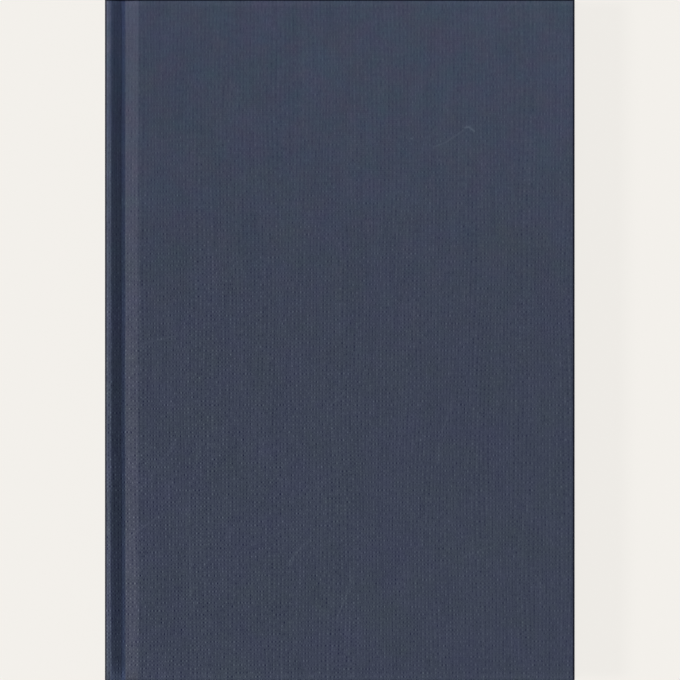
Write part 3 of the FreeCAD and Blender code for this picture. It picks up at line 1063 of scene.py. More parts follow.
@dataclass(frozen=True)
class CaseSizes:
    """The case's section in metres, and its height.

    Distances are from the spine's outer face towards the fore edge, and depths are below a cover's outer
    face. They come from the CAD nodes, apart from the groove's, which lie inside a node.
    """

    start: float
    width: float
    height: float
    thickness: float
    cloth: float
    spine_board_inside: float
    board_start: float
    board_inside: float
    hinge: float
    groove_floor: float = 1.0 * MM
    groove_board_slope: float = 4.2 * MM
    turn_in: float = 15 * MM
    proud: float = 0.2 * MM  # how far the folded cloth stands off the boards' ends at head and tail
    spine_round: float = 1.2 * MM
    edge_round: float = 0.4 * MM

    @classmethod
    def from_frame(cls, hinge_x: float) -> CaseSizes:
        """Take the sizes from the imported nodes.

        Args:
            hinge_x: Where the front hinge's line is.

        Returns:
            The sizes.
        """
        spine_low, spine_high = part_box("spine_cloth")
        cover_low, cover_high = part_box("front_cloth")
        board_low, board_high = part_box("front_board")
        spine_board_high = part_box("spine_board")[1]
        return cls(
            start=spine_low.x,
            width=cover_high.x - spine_low.x,
            height=cover_high.y - cover_low.y + 2 * cls.proud,
            thickness=spine_high.z - spine_low.z,
            cloth=cover_high.x - board_high.x,
            spine_board_inside=spine_board_high.x - spine_low.x,
            board_start=board_low.x - spine_low.x,
            board_inside=cover_high.z - cover_low.z,
            hinge=hinge_x - spine_low.x,
        )

    @property
    def crest_end(self) -> float:
        """Where the groove starts, next to the spine."""
        return self.spine_board_inside + self.cloth

    @property
    def floor_start(self) -> float:
        """Where the groove's floor starts."""
        return self.hinge - self.groove_floor / 2

    @property
    def floor_end(self) -> float:
        """Where the groove's floor ends."""
        return self.hinge + self.groove_floor / 2

    @property
    def groove_end(self) -> float:
        """Where the groove ends, on the board."""
        return self.floor_end + self.groove_board_slope

    @property
    def floor_depth(self) -> float:
        """How deep the groove is."""
        return self.board_inside - 2 * self.cloth

    def place(self, side: Side, across: float, depth: float, y: float) -> Point:
        """A point of the case in the book's frame."""
        z = depth if side is Side.BACK else self.thickness - depth
        return (self.start + across, y, z)


@dataclass
class Station:
    """One place along the case's section, as (distance, depth) on each face of the folded cloth."""

    outer: Pair
    under: Pair
    flap_back: Pair
    flap_face: Pair
    run: float = 0.0  # how far along the cloth it is


@dataclass(frozen=True)
class CaseSection:
    """The section of half the case's cloth, from the middle of the spine over one cover."""

    sizes: CaseSizes
    crest_softness: float = 0.12 * MM
    floor_softness: float = 0.3 * MM
    shoulder_softness: float = 0.6 * MM
    softened_points: int = 9
    spine_points: int = 9
    corner_points: int = 9
    layer_gap: float = 0.01 * MM
    bend_reach: float = 1.0 * MM
    crest_step: float = 0.03 * MM  # round the crest's edge
    bend_step: float = 0.1 * MM  # where the cloth bends or folds
    slope_step: float = 0.2 * MM
    caught_step: float = 0.25 * MM  # just on the board
    border_step: float = 0.45 * MM  # just before the fore edge
    panel_step: float = 4 * MM
    panel_margin: float = 1 * MM  # of finer steps, at each side of the panel
    flap_fall: float = 0.4 * MM  # over which the turned-in strip drops to the board's inside
    catch_up: float = 1.1 * MM  # over which the strip's points, held back at the board's edge, catch up
    corner_line: float = 0.6 * MM  # from the spine's face, where the darker band along its corner ends
    corner_width: float = 1.0 * MM
    crest_lines: Pair = (0.62 * MM, 1.8 * MM)  # the same, where the crest's wear and painted highlight start and end
    groove_margins: Pair = (0.2 * MM, 0.05 * MM)  # of painted shade, before and after the floor
    shoulder_gap: float = 0.3 * MM  # from the floor to the shoulder's painted highlight
    sharp_fade: float = 0.12 * MM
    soft_fade: float = 0.25 * MM
    slope_fade: float = 0.3 * MM
    panel_fade: float = 1.0 * MM

    def outer_profile(self) -> tuple[np.ndarray, np.ndarray]:
        """The softened line of the cover's outer face.

        Returns:
            Distances from the spine and the depths there.
        """
        s = self.sizes
        corners = [
            (0.0, 0.0, 0.0),
            (s.crest_end, 0.0, self.crest_softness),
            (s.floor_start, s.floor_depth, self.floor_softness),
            (s.floor_end, s.floor_depth, self.floor_softness),
            (s.groove_end, 0.0, self.shoulder_softness),
            (s.width, 0.0, 0.0),
        ]
        line: list[Pair] = [corners[0][:2]]
        for before, here, after in zip(corners, corners[1:], corners[2:]):
            middle = Vector(here[:2])
            first = middle + (Vector(before[:2]) - middle).normalized() * here[2]
            last = middle + (Vector(after[:2]) - middle).normalized() * here[2]
            for share in np.linspace(0.0, 1.0, self.softened_points):
                point = first.lerp(middle, share).lerp(middle.lerp(last, share), share)
                line.append((point.x, point.y))
        line.append(corners[-1][:2])
        found = np.array(line)
        return found[:, 0], found[:, 1]

    def sharp_depth(self, across: float) -> float:
        """Find how deep the outer face lies before its corners are softened.

        Args:
            across: The distance from the spine.

        Returns:
            The depth.
        """
        s = self.sizes
        places = [s.crest_end, s.floor_start, s.floor_end, s.groove_end]
        return float(np.interp(across, places, [0.0, s.floor_depth, s.floor_depth, 0.0]))

    def spine_stations(self) -> list[Station]:
        """Lay out half of the spine's face and its corner.

        Returns:
            The stations.
        """
        s = self.sizes
        inner, face, radius = s.spine_board_inside, s.crest_end, s.spine_round
        found = [
            Station((0.0, depth), (s.cloth, depth), (inner, depth), (face, depth))
            for depth in np.linspace(s.thickness / 2, radius, self.spine_points)
        ]
        for angle in np.linspace(0.0, math.pi / 2, self.corner_points)[1:]:
            cos, sin = math.cos(angle), math.sin(angle)
            turned = angle / (math.pi / 2)
            found.append(
                Station(
                    (radius - radius * cos, radius - radius * sin),
                    (radius - (radius - s.cloth) * cos, radius - (radius - s.cloth) * sin),
                    (inner, radius + (s.cloth + self.layer_gap - radius) * turned),
                    (face, radius + (2 * s.cloth - radius) * turned),
                )
            )
        return found

    def flap(self, across: float) -> tuple[Pair, Pair]:
        """Find where the turned-in strip lies under a point of the cover.

        Before the board it lies on the cloth, and from the board's edge it lies on the board's inside.

        Args:
            across: The point's distance.

        Returns:
            (distance, depth) on the strip's back, and on its face.
        """
        s = self.sizes
        drop = s.board_start - s.cloth
        if across <= drop + SAME_PLACE:
            depth = self.sharp_depth(across) + s.cloth
            return (
                (max(across, s.spine_board_inside), depth + self.layer_gap),
                (max(across, s.crest_end), depth + s.cloth),
            )
        turned, dropped = drop + self.bend_step, drop + self.flap_fall
        caught_up = s.board_start + self.catch_up
        back = np.interp(
            across,
            [drop, turned, dropped, caught_up, s.width],
            [drop, s.board_start, s.board_start, caught_up, s.width],
        )
        face = np.interp(across, [drop, dropped, caught_up, s.width], [drop, drop, caught_up, s.width])
        edge_depth = self.sharp_depth(s.board_start) + s.cloth + self.layer_gap
        drop_depth = self.sharp_depth(drop) + 2 * s.cloth
        back_depth = np.interp(across, [turned, dropped], [edge_depth, s.board_inside - s.cloth])
        face_depth = np.interp(across, [drop, dropped], [drop_depth, s.board_inside])
        return (float(back), float(back_depth)), (float(face), float(face_depth))

    def cover_stations(self) -> list[Station]:
        """Lay out the crest, the groove and the board.

        Returns:
            The stations.
        """
        s = self.sizes
        drop = s.board_start - s.cloth
        caught_up = s.board_start + self.catch_up
        border = s.width - s.edge_round
        runs = [
            (s.crest_end - self.crest_softness, self.bend_step),
            (s.crest_end + self.crest_softness, self.crest_step),
            (s.hinge - self.bend_reach, self.slope_step),
            (s.hinge + self.bend_reach, self.bend_step),
            (drop, self.slope_step),
            (caught_up, self.bend_step),
            (caught_up + self.panel_margin, self.caught_step),
            (border - self.panel_margin, self.panel_step),
            (border - self.bend_step, self.border_step),
            (border, self.bend_step),
        ]
        distances, depths = self.outer_profile()
        found = []
        low = s.spine_round
        for high, step in runs:
            count = max(1, math.ceil((high - low) / step - SLACK))
            for across in np.linspace(low, high, count + 1)[1:]:
                outer = (across, float(np.interp(across, distances, depths)))
                under = (across, self.sharp_depth(across) + s.cloth)
                found.append(Station(outer, under, *self.flap(across)))
            low = high
        return found

    def stations(self) -> list[Station]:
        """Lay out the whole section, and measure it along the cloth.

        Returns:
            The stations.
        """
        found = self.spine_stations() + self.cover_stations()
        for before, here in zip(found, found[1:]):
            here.run = before.run + (Vector(here.outer) - Vector(before.outer)).length
        return found

    def marks(self) -> ClothMarks:
        """Find where the case's features lie on its cloth laid flat.

        Returns:
            The places of the features.
        """
        s = self.sizes
        line = [station for station in self.stations() if station.outer[0] > 0]
        distances, runs = [station.outer[0] for station in line], [station.run for station in line]

        def run_at(across: float) -> float:
            """How far along the cloth a point of its outer face is."""
            return float(np.interp(across, distances, runs))

        corner = run_at(self.corner_line)
        crest_start, crest_end = (run_at(place) for place in self.crest_lines)
        floor_start = run_at(s.floor_start - self.groove_margins[0])
        floor_end = run_at(s.floor_end + self.groove_margins[1])
        shoulder_start, shoulder_end = run_at(s.floor_end + self.shoulder_gap), run_at(s.groove_end)
        slack = run_at(s.width - s.edge_round) - (s.width - s.edge_round)
        return ClothMarks(
            corner=Strip(corner - self.corner_width, corner, self.sharp_fade, self.sharp_fade),
            crest=Strip(crest_start, crest_end, self.sharp_fade, self.sharp_fade),
            groove=Strip(floor_start, floor_end, self.soft_fade, self.soft_fade),
            hollow=Strip(crest_end, floor_end, self.slope_fade, self.slope_fade),
            shoulder=Strip(shoulder_start, shoulder_end, self.slope_fade, self.panel_fade),
            panel_slack=slack,
            fore_edge=s.width + slack,
            head=s.height / 2,
        )


class SheetShell:
    """A thin closed shell whose corners know their place on the sheet laid flat."""

    def __init__(self) -> None:
        """Start an empty shell with a UV map."""
        self.shape = bmesh.new()
        self.layer = self.shape.loops.layers.uv.new(FLAT_UV)

    def corner(self, place: Point, flat: Pair) -> Corner:
        """A new vertex and its place on the flat sheet."""
        return self.shape.verts.new(place), flat

    def face(self, corners: Sequence[Corner]) -> None:
        """Add a face.

        Args:
            corners: Its vertices with their places on the flat sheet.
        """
        made = self.shape.faces.new([vertex for vertex, _ in corners])
        for loop, (_, flat) in zip(made.loops, corners):
            loop[self.layer].uv = flat


@dataclass
class CaseCloth:
    """Half of the case's cloth: half the spine and one cover, turned in round their edges."""

    side: Side
    section: CaseSection
    finish: bpy.types.Material
    border: float = 0.1 * MM  # of the panel, next to the fold
    panel_margin: float = 1 * MM
    fillet_steps: int = 4
    corner_steps: int = 4
    face_shares: tuple[float, ...] = (0.03, 0.2, 0.5, 0.8, 1.0)  # rows on the turned-in strip's face
    back_shares: tuple[float, ...] = (1.0, 0.5)  # the same, on its back

    @property
    def sizes(self) -> CaseSizes:
        """The case's sizes."""
        return self.section.sizes

    @property
    def half(self) -> float:
        """How far from the middle of the height the panel ends and the fold begins."""
        return self.sizes.height / 2 - self.sizes.edge_round

    def corner(self, shell: SheetShell, across: float, depth: float, y: float, flat: Pair) -> Corner:
        """A new vertex of the cloth."""
        turned = flat[0] if self.side is Side.FRONT else -flat[0]
        return shell.corner(self.sizes.place(self.side, across, depth, y), (turned, flat[1]))

    def edge_ring(self, station: Station) -> list[tuple[Pair, float]]:
        """The cloth's way round an edge, from its outer face to the flap and back under the outer face.

        Args:
            station: Where along the section.

        Returns:
            Points as ((distance, depth), how far outwards of the panel's border).
        """
        s = self.sizes
        outer, face = Vector(station.outer), Vector(station.flap_face)
        thick = (face - outer).length
        down = (face - outer) / thick
        radius = min(s.edge_round, thick / 2)
        angles = np.linspace(0.0, math.pi / 2, self.fillet_steps + 1)
        ring = []
        for start, inwards, turns in ((outer, down, angles), (face, -down, angles[::-1])):
            for angle in turns:
                at = start + inwards * (radius * (1 - math.cos(angle)))
                ring.append((tuple(at), s.edge_round * math.sin(angle)))
        reach = s.turn_in - s.edge_round
        inside = s.edge_round - s.cloth
        ring += [(station.flap_face, -reach * share) for share in self.face_shares]
        ring += [(station.flap_back, -reach * share) for share in self.back_shares]
        return [*ring, (station.flap_back, inside), (station.under, inside), (station.under, 0.0)]

    def rows(self) -> list[float]:
        """Divide the panel into rows of points, from tail to head.

        Returns:
            Places along the height.
        """
        low, high = -self.half + self.panel_margin, self.half - self.panel_margin / 2
        inner = np.arange(low, high, self.section.panel_step)
        return [
            -self.half,
            -self.half + self.border,
            *inner,
            self.half - self.panel_margin,
            self.half - self.border,
            self.half,
        ]

    def way_round(self, rows: Sequence[float], last: int) -> list[tuple[int, float, float]]:
        """The way round the panel's border: along the head, down the fore edge and back along the tail.

        Args:
            rows: The panel's rows.
            last: The number of the last station.

        Returns:
            Places as (station, place along the height, direction outwards).
        """
        turns = np.linspace(math.pi / 2, 0.0, self.corner_steps + 1)
        way = [(i, self.half, math.pi / 2) for i in range(last + 1)]
        way += [(last, self.half, angle) for angle in turns[1:]]
        way += [(last, y, 0.0) for y in rows[-2:0:-1]]
        way += [(last, -self.half, -angle) for angle in turns[::-1]]
        return way + [(i, -self.half, -math.pi / 2) for i in range(last - 1, -1, -1)]

    def turned_in(self, shell: SheetShell, station: Station, y: float, angle: float) -> list[Corner]:
        """Lay one row of points round the cloth's edge.

        Args:
            shell: The shell being built.
            station: Where along the section.
            y: Where along the height.
            angle: The direction outwards.

        Returns:
            The corners.
        """
        panel_end = self.sizes.width - self.sizes.edge_round
        along_head = abs(angle) > math.pi / 4 + SLACK
        run, found, before = 0.0, [], None
        for (across, depth), outwards in self.edge_ring(station):
            here = Vector((across, depth, outwards))
            run += (here - before).length if before is not None else 0.0
            before = here
            if outwards >= 0:
                at = (across + outwards * math.cos(angle), y + outwards * math.sin(angle))
            else:
                far = self.half + outwards
                at = (min(across, panel_end + outwards), max(-far, min(far, y)))
            slid = station.run + min(0.0, at[0] - across)
            over_head, over_fore = (slid, math.copysign(self.half + run, y)), (station.run + run, at[1])
            flat = over_head if along_head else over_fore
            found.append(self.corner(shell, at[0], depth, at[1], flat))
        return found

    def build(self) -> bpy.types.Object:
        """Build the cloth as one closed thin shell with the weave's own UV map.

        Returns:
            The cloth.
        """
        shell = SheetShell()
        stations, rows = self.section.stations(), self.rows()
        for name in ("outer", "under"):
            grid = [
                [self.corner(shell, *getattr(station, name), y, (station.run, y)) for y in rows]
                for station in stations
            ]
            for one, two in zip(grid, grid[1:]):
                for j in range(len(rows) - 1):
                    shell.face([one[j], two[j], two[j + 1], one[j + 1]])
        way = self.way_round(rows, len(stations) - 1)
        strips = [self.turned_in(shell, stations[i], y, angle) for i, y, angle in way]
        for one, two in zip(strips, strips[1:]):
            for k in range(len(one) - 1):
                shell.face([one[k], two[k], two[k + 1], one[k + 1]])
        shape = shell.shape
        bmesh.ops.remove_doubles(shape, verts=shape.verts, dist=WELD_DISTANCE)
        ends = [edge for edge in shape.edges if edge.is_boundary]
        bmesh.ops.holes_fill(shape, edges=ends, sides=0)
        return finish_shape(f"{self.side.value}_case_cloth", shape, self.finish)

    def fit(self) -> None:
        """Build the cloth in place of its CAD nodes."""
        s = self.sizes
        piece = self.build()
        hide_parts(f"{self.side.value}_cloth", "spine_cloth")
        near, far = s.hinge - self.section.bend_reach, s.hinge + self.section.bend_reach
        ends = [s.place(self.side, place, s.floor_depth, 0.0) for place in (near, far)]
        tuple(ends[0])
        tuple(ends[1])
        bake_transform(piece)


# --- the block ----------------------------------------------------------------------------------------


class Assembly(Graph):
    """A geometry tree with named sizes, worked out once into a plain mesh."""

    def __init__(self, name: str) -> None:
        """Make the tree with its output and its input node.

        Args:
            name: The name of the tree and of its piece.
        """
        self.name = name
        tree = bpy.data.node_groups.new(name, "GeometryNodeTree")
        super().__init__(tree)
        tree.interface.new_socket("Geometry", in_out="OUTPUT", socket_type="NodeSocketGeometry")
        self.start = self.node("NodeGroupInput")
        self.given: dict[str, float] = {}

    def size(self, name: str, given: float, kind: str = "NodeSocketFloat") -> Wire:
        """Add a named input to the tree.

        Args:
            name: Its name.
            given: Its value.
            kind: The kind of its socket.

        Returns:
            What the tree reads there.
        """
        socket = self.tree.interface.new_socket(name, in_out="INPUT", socket_type=kind)
        self.given[socket.identifier] = given
        return Wire(self, self.start.outputs[name])

    def count(self, name: str, given: int) -> Wire:
        """A named input that is a whole number."""
        return self.size(name, given, "NodeSocketInt")

    def join(self, *parts: Wire) -> Wire:
        """Take several geometries together.

        Args:
            parts: The geometries.

        Returns:
            All of them as one.
        """
        made = self.node("GeometryNodeJoinGeometry")
        for part in parts:
            self.tree.links.new(part.socket, made.inputs[0])
        return Wire(self, made.outputs[0])

    def work_out(self, geometry: Wire, material: bpy.types.Material) -> bpy.types.Object:
        """End the tree, set its inputs and turn its result into a plain mesh object.

        Args:
            geometry: The tree's result, instances and all.
            material: What it is made of.

        Returns:
            The object, which sits at the origin and holds no modifier.
        """
        solid = self.wire("GeometryNodeRealizeInstances", None, {0: geometry})
        dressed = self.wire("GeometryNodeSetMaterial", None, {"Geometry": solid, "Material": material})
        self.node("NodeGroupOutput", None, {0: dressed})
        blank = bpy.data.meshes.new(f"{self.name}_holder")
        holder = bpy.data.objects.new(blank.name, blank)
        bpy.context.scene.collection.objects.link(holder)
        modifier = holder.modifiers.new(self.name, "NODES")
        modifier.node_group = self.tree
        for identifier, given in self.given.items():
            modifier[identifier] = given
        depsgraph = bpy.context.evaluated_depsgraph_get()
        mesh = bpy.data.meshes.new_from_object(holder.evaluated_get(depsgraph), depsgraph=depsgraph)
        mesh.name = self.name
        bpy.data.objects.remove(holder)
        piece = bpy.data.objects.new(self.name, mesh)
        bpy.context.scene.collection.objects.link(piece)
        log.info("%s: %d faces", piece.name, len(mesh.polygons))
        return piece


class LeafRoom:
    """The room that each leaf takes in the block, and what follows from it."""

    def __init__(self, sections: Wire, nested: Wire, thickness: Wire, paper_share: Wire) -> None:
        """Share the block's thickness among the leaves.

        Args:
            sections: How many sections there are.
            nested: How many sheets are nested in each.
            thickness: The block's thickness.
            paper_share: How much of a leaf's room is paper.
        """
        self.sections = sections
        self.nested = nested
        self.leaves = sections * nested * 2.0
        self.room = thickness / self.leaves
        self.fold_depth = nested * self.room
        self.paper_thickness = self.room * paper_share


@dataclass
class LeafBlock:
    """The sewn leaves: sections of nested folded sheets, with kerfs sawn across their folds."""

    paper: bpy.types.Material
    sections: int = 12
    sheets_per_section: int = 4
    paper_share: float = 0.86  # of the room for a leaf, the rest being air
    points_per_fold: int = 9
    trim_scatter: float = 0.04 * MM
    kerfs: int = 6
    kerf_width: float = 0.6 * MM
    kerf_margin: float = 12 * MM
    seed: int = 7

    def leaves(self, tree: Assembly, low: Vector, high: Vector, sheet: LeafRoom) -> Wire:
        """Every leaf from its fold to the fore edge, each trimmed a little unevenly.

        Args:
            tree: The tree to add to.
            low: The block's lowest corner.
            high: The block's highest corner.
            sheet: The room that a leaf takes.

        Returns:
            The leaves.
        """
        width = tree.size("Leaf width", high.x - low.x)
        scatter = tree.size("Trim scatter", self.trim_scatter)
        seed = tree.count("Seed", self.seed)
        number = tree.wire("GeometryNodeInputIndex")
        trim = tree.wire(
            "FunctionNodeRandomValue",
            {"data_type": "FLOAT"},
            {"Min": scatter * -1.0, "Max": 0.0, "ID": number, "Seed": seed},
            1,
        )
        reach = width - sheet.fold_depth + trim
        places = tree.node("GeometryNodeMeshLine", None, {"Count": sheet.leaves})
        stacked = tree.wire(
            "GeometryNodeSetPosition",
            None,
            {
                "Geometry": Wire(tree, places.outputs[0]),
                "Position": tree.combine(
                    sheet.fold_depth + reach / 2.0 + low.x,
                    (low.y + high.y) / 2,
                    (number + 0.5) * sheet.room + low.z,
                ),
            },
        )
        leaf_size = tree.combine(1.0, high.y - low.y, sheet.paper_thickness)
        leaf = tree.wire("GeometryNodeMeshCube", None, {"Size": leaf_size})
        return tree.wire(
            "GeometryNodeInstanceOnPoints",
            None,
            {"Points": stacked, "Instance": leaf, "Scale": tree.combine(reach, 1.0, 1.0)},
        )

    def folds(self, tree: Assembly, low: Vector, high: Vector, sheet: LeafRoom) -> Wire:
        """The folds that join the leaves in pairs, interrupted at each kerf.

        Args:
            tree: The tree to add to.
            low: The block's lowest corner.
            high: The block's highest corner.
            sheet: The room that a leaf takes.

        Returns:
            The folds.
        """
        points = tree.count("Points per fold", self.points_per_fold)
        places = tree.node("GeometryNodeMeshLine", None, {"Count": sheet.sections * sheet.nested})
        numbered = tree.wire(
            "GeometryNodeStoreNamedAttribute",
            {"data_type": "FLOAT", "domain": "POINT"},
            {
                "Geometry": Wire(tree, places.outputs[0]),
                "Name": "sheet",
                "Value": tree.wire("GeometryNodeInputIndex") * 1.0,
            },
        )
        blank = tree.wire(
            "GeometryNodeResampleCurve",
            None,
            {"Curve": tree.wire("GeometryNodeCurvePrimitiveLine"), "Count": points},
        )
        copies = tree.wire("GeometryNodeInstanceOnPoints", None, {"Points": numbered, "Instance": blank})
        curves = tree.wire("GeometryNodeRealizeInstances", None, {0: copies})

        number = tree.wire("GeometryNodeInputNamedAttribute", {"data_type": "FLOAT"}, {"Name": "sheet"})
        place = tree.wire("GeometryNodeSplineParameter", None, None, "Index") * 1.0
        section = tree.math("FLOOR", (number + 0.5) / sheet.nested)
        nest = number - section * sheet.nested
        radius = (sheet.nested - nest - 0.5) * sheet.room
        turned = place / (points - 1.0) * math.pi
        x = sheet.fold_depth - radius * tree.math("SINE", turned)
        z = (section * 2.0 + 1.0) * sheet.fold_depth + radius * tree.math("COSINE", turned)
        arcs = tree.wire(
            "GeometryNodeSetPosition",
            None,
            {"Geometry": curves, "Position": tree.combine(x + low.x, 0.0, z + low.z)},
        )
        section_size = {"Width": 1.0, "Height": sheet.paper_thickness}
        outline = tree.wire("GeometryNodeCurvePrimitiveQuadrilateral", None, section_size)
        swept = {"Curve": arcs, "Profile Curve": outline, "Fill Caps": True}
        fold = tree.wire("GeometryNodeCurveToMesh", None, swept)

        kerfs = tree.count("Kerfs", self.kerfs)
        kerf = tree.size("Kerf width", self.kerf_width)
        margin = tree.size("Kerf margin", self.kerf_margin)
        height = tree.size("Leaf height", high.y - low.y)
        pitch = (height - margin * 2.0) / (kerfs - 1.0)
        stretch = tree.wire("GeometryNodeInputIndex") * 1.0
        start = (margin + (stretch - 1.0) * pitch + kerf / 2.0) * tree.math("GREATER_THAN", stretch, 0.5)
        end = tree.math("MINIMUM", margin + stretch * pitch - kerf / 2.0, height)
        spots = tree.node("GeometryNodeMeshLine", None, {"Count": kerfs + 1.0})
        spread = tree.wire(
            "GeometryNodeSetPosition",
            None,
            {
                "Geometry": Wire(tree, spots.outputs[0]),
                "Position": tree.combine(0.0, (start + end) / 2.0 + low.y, 0.0),
            },
        )
        return tree.wire(
            "GeometryNodeInstanceOnPoints",
            None,
            {"Points": spread, "Instance": fold, "Scale": tree.combine(1.0, end - start, 1.0)},
        )

    def fit(self) -> None:
        """Build the leaves in the page block's place."""
        low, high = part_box("page_block")
        tree = Assembly("leaves")
        sections = tree.count("Sections", self.sections)
        nested = tree.count("Sheets per section", self.sheets_per_section)
        thickness = tree.size("Block thickness", high.z - low.z)
        sheet = LeafRoom(sections, nested, thickness, tree.size("Paper share", self.paper_share))
        parts = self.leaves(tree, low, high, sheet), self.folds(tree, low, high, sheet)
        piece = tree.work_out(tree.join(*parts), self.paper)
        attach(piece, "block")
        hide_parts("page_block")


@dataclass
class EndBand:
    """A head or tail band: two-coloured thread wound on a core, and a tape glued down the spine."""

    node: str
    winding: bpy.types.Material
    tape: bpy.types.Material
    thread_radius: float = 0.2 * MM
    ring_points: int = 20
    thread_points: int = 7
    core_share: float = 0.6  # of the bead's radius
    core_length: float = 0.98  # of the bead's height
    slant: float = 0.12
    tape_thickness: float = 0.15 * MM

    def fit(self) -> None:
        """Build the band in its node's place."""
        low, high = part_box(self.node)
        radius = (high.x - low.x) / 2
        outer_end = high.y if high.y > -low.y else low.y
        bead_y = outer_end - math.copysign(radius, outer_end)
        self.wind(Vector((low.x + radius, bead_y, low.z)), radius, high.z - low.z)
        self.glue_tape(low, high, bead_y)

    def wind(self, base: Vector, bead_radius: float, height: float) -> None:
        """Wind the thread round the core.

        Args:
            base: The lower end of the bead's axis.
            bead_radius: The bead's radius, thread and all.
            height: The bead's height.
        """
        tree = Assembly(f"{self.node}_winding")
        radius = tree.size("Bead radius", bead_radius)
        thread = tree.size("Thread radius", self.thread_radius)
        tall = tree.size("Height", height)
        turns = max(2, math.floor(height / (2 * self.thread_radius)))
        count = tree.count("Turns", turns)
        ring = {"Resolution": self.ring_points, "Radius": radius - thread}
        loop = tree.wire("GeometryNodeCurvePrimitiveCircle", None, ring)
        outline = {"Resolution": self.thread_points, "Radius": thread}
        section = tree.wire("GeometryNodeCurvePrimitiveCircle", None, outline)
        turn = tree.wire("GeometryNodeCurveToMesh", None, {"Curve": loop, "Profile Curve": section})
        places = tree.wire(
            "GeometryNodeMeshLine",
            None,
            {
                "Count": count,
                "Start Location": tree.combine(base.x, base.y, tall / (count * 2.0) + base.z),
                "Offset": tree.combine(0.0, 0.0, tall / count),
            },
        )
        wound = tree.wire(
            "GeometryNodeInstanceOnPoints",
            None,
            {"Points": places, "Instance": turn, "Rotation": (self.slant, 0.0, 0.0)},
        )
        core = tree.wire(
            "GeometryNodeMeshCylinder",
            None,
            {
                "Vertices": self.ring_points,
                "Radius": radius * self.core_share,
                "Depth": tall * self.core_length,
            },
        )
        stood = tree.wire(
            "GeometryNodeTransform",
            None,
            {"Geometry": core, "Translation": tree.combine(base.x, base.y, tall / 2.0 + base.z)},
        )
        piece = tree.work_out(tree.join(wound, stood), self.winding)
        for face in piece.data.polygons:
            face.use_smooth = True
        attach(piece, "block")
        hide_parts(self.node)

    def glue_tape(self, low: Vector, high: Vector, bead_y: float) -> None:
        """Glue the band's tape down the spine.

        Args:
            low: The node's lowest corner.
            high: The node's highest corner.
            bead_y: Where the bead is, where the tape ends.
        """
        ends = sorted((bead_y, low.y if bead_y > 0 else high.y))
        tape_low = Vector((low.x, ends[0], low.z))
        tape_high = Vector((low.x + self.tape_thickness, ends[1], high.z))
        piece = soft_slab(f"{self.node}_tape", tape_low, tape_high, self.tape)
        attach(piece, "block")


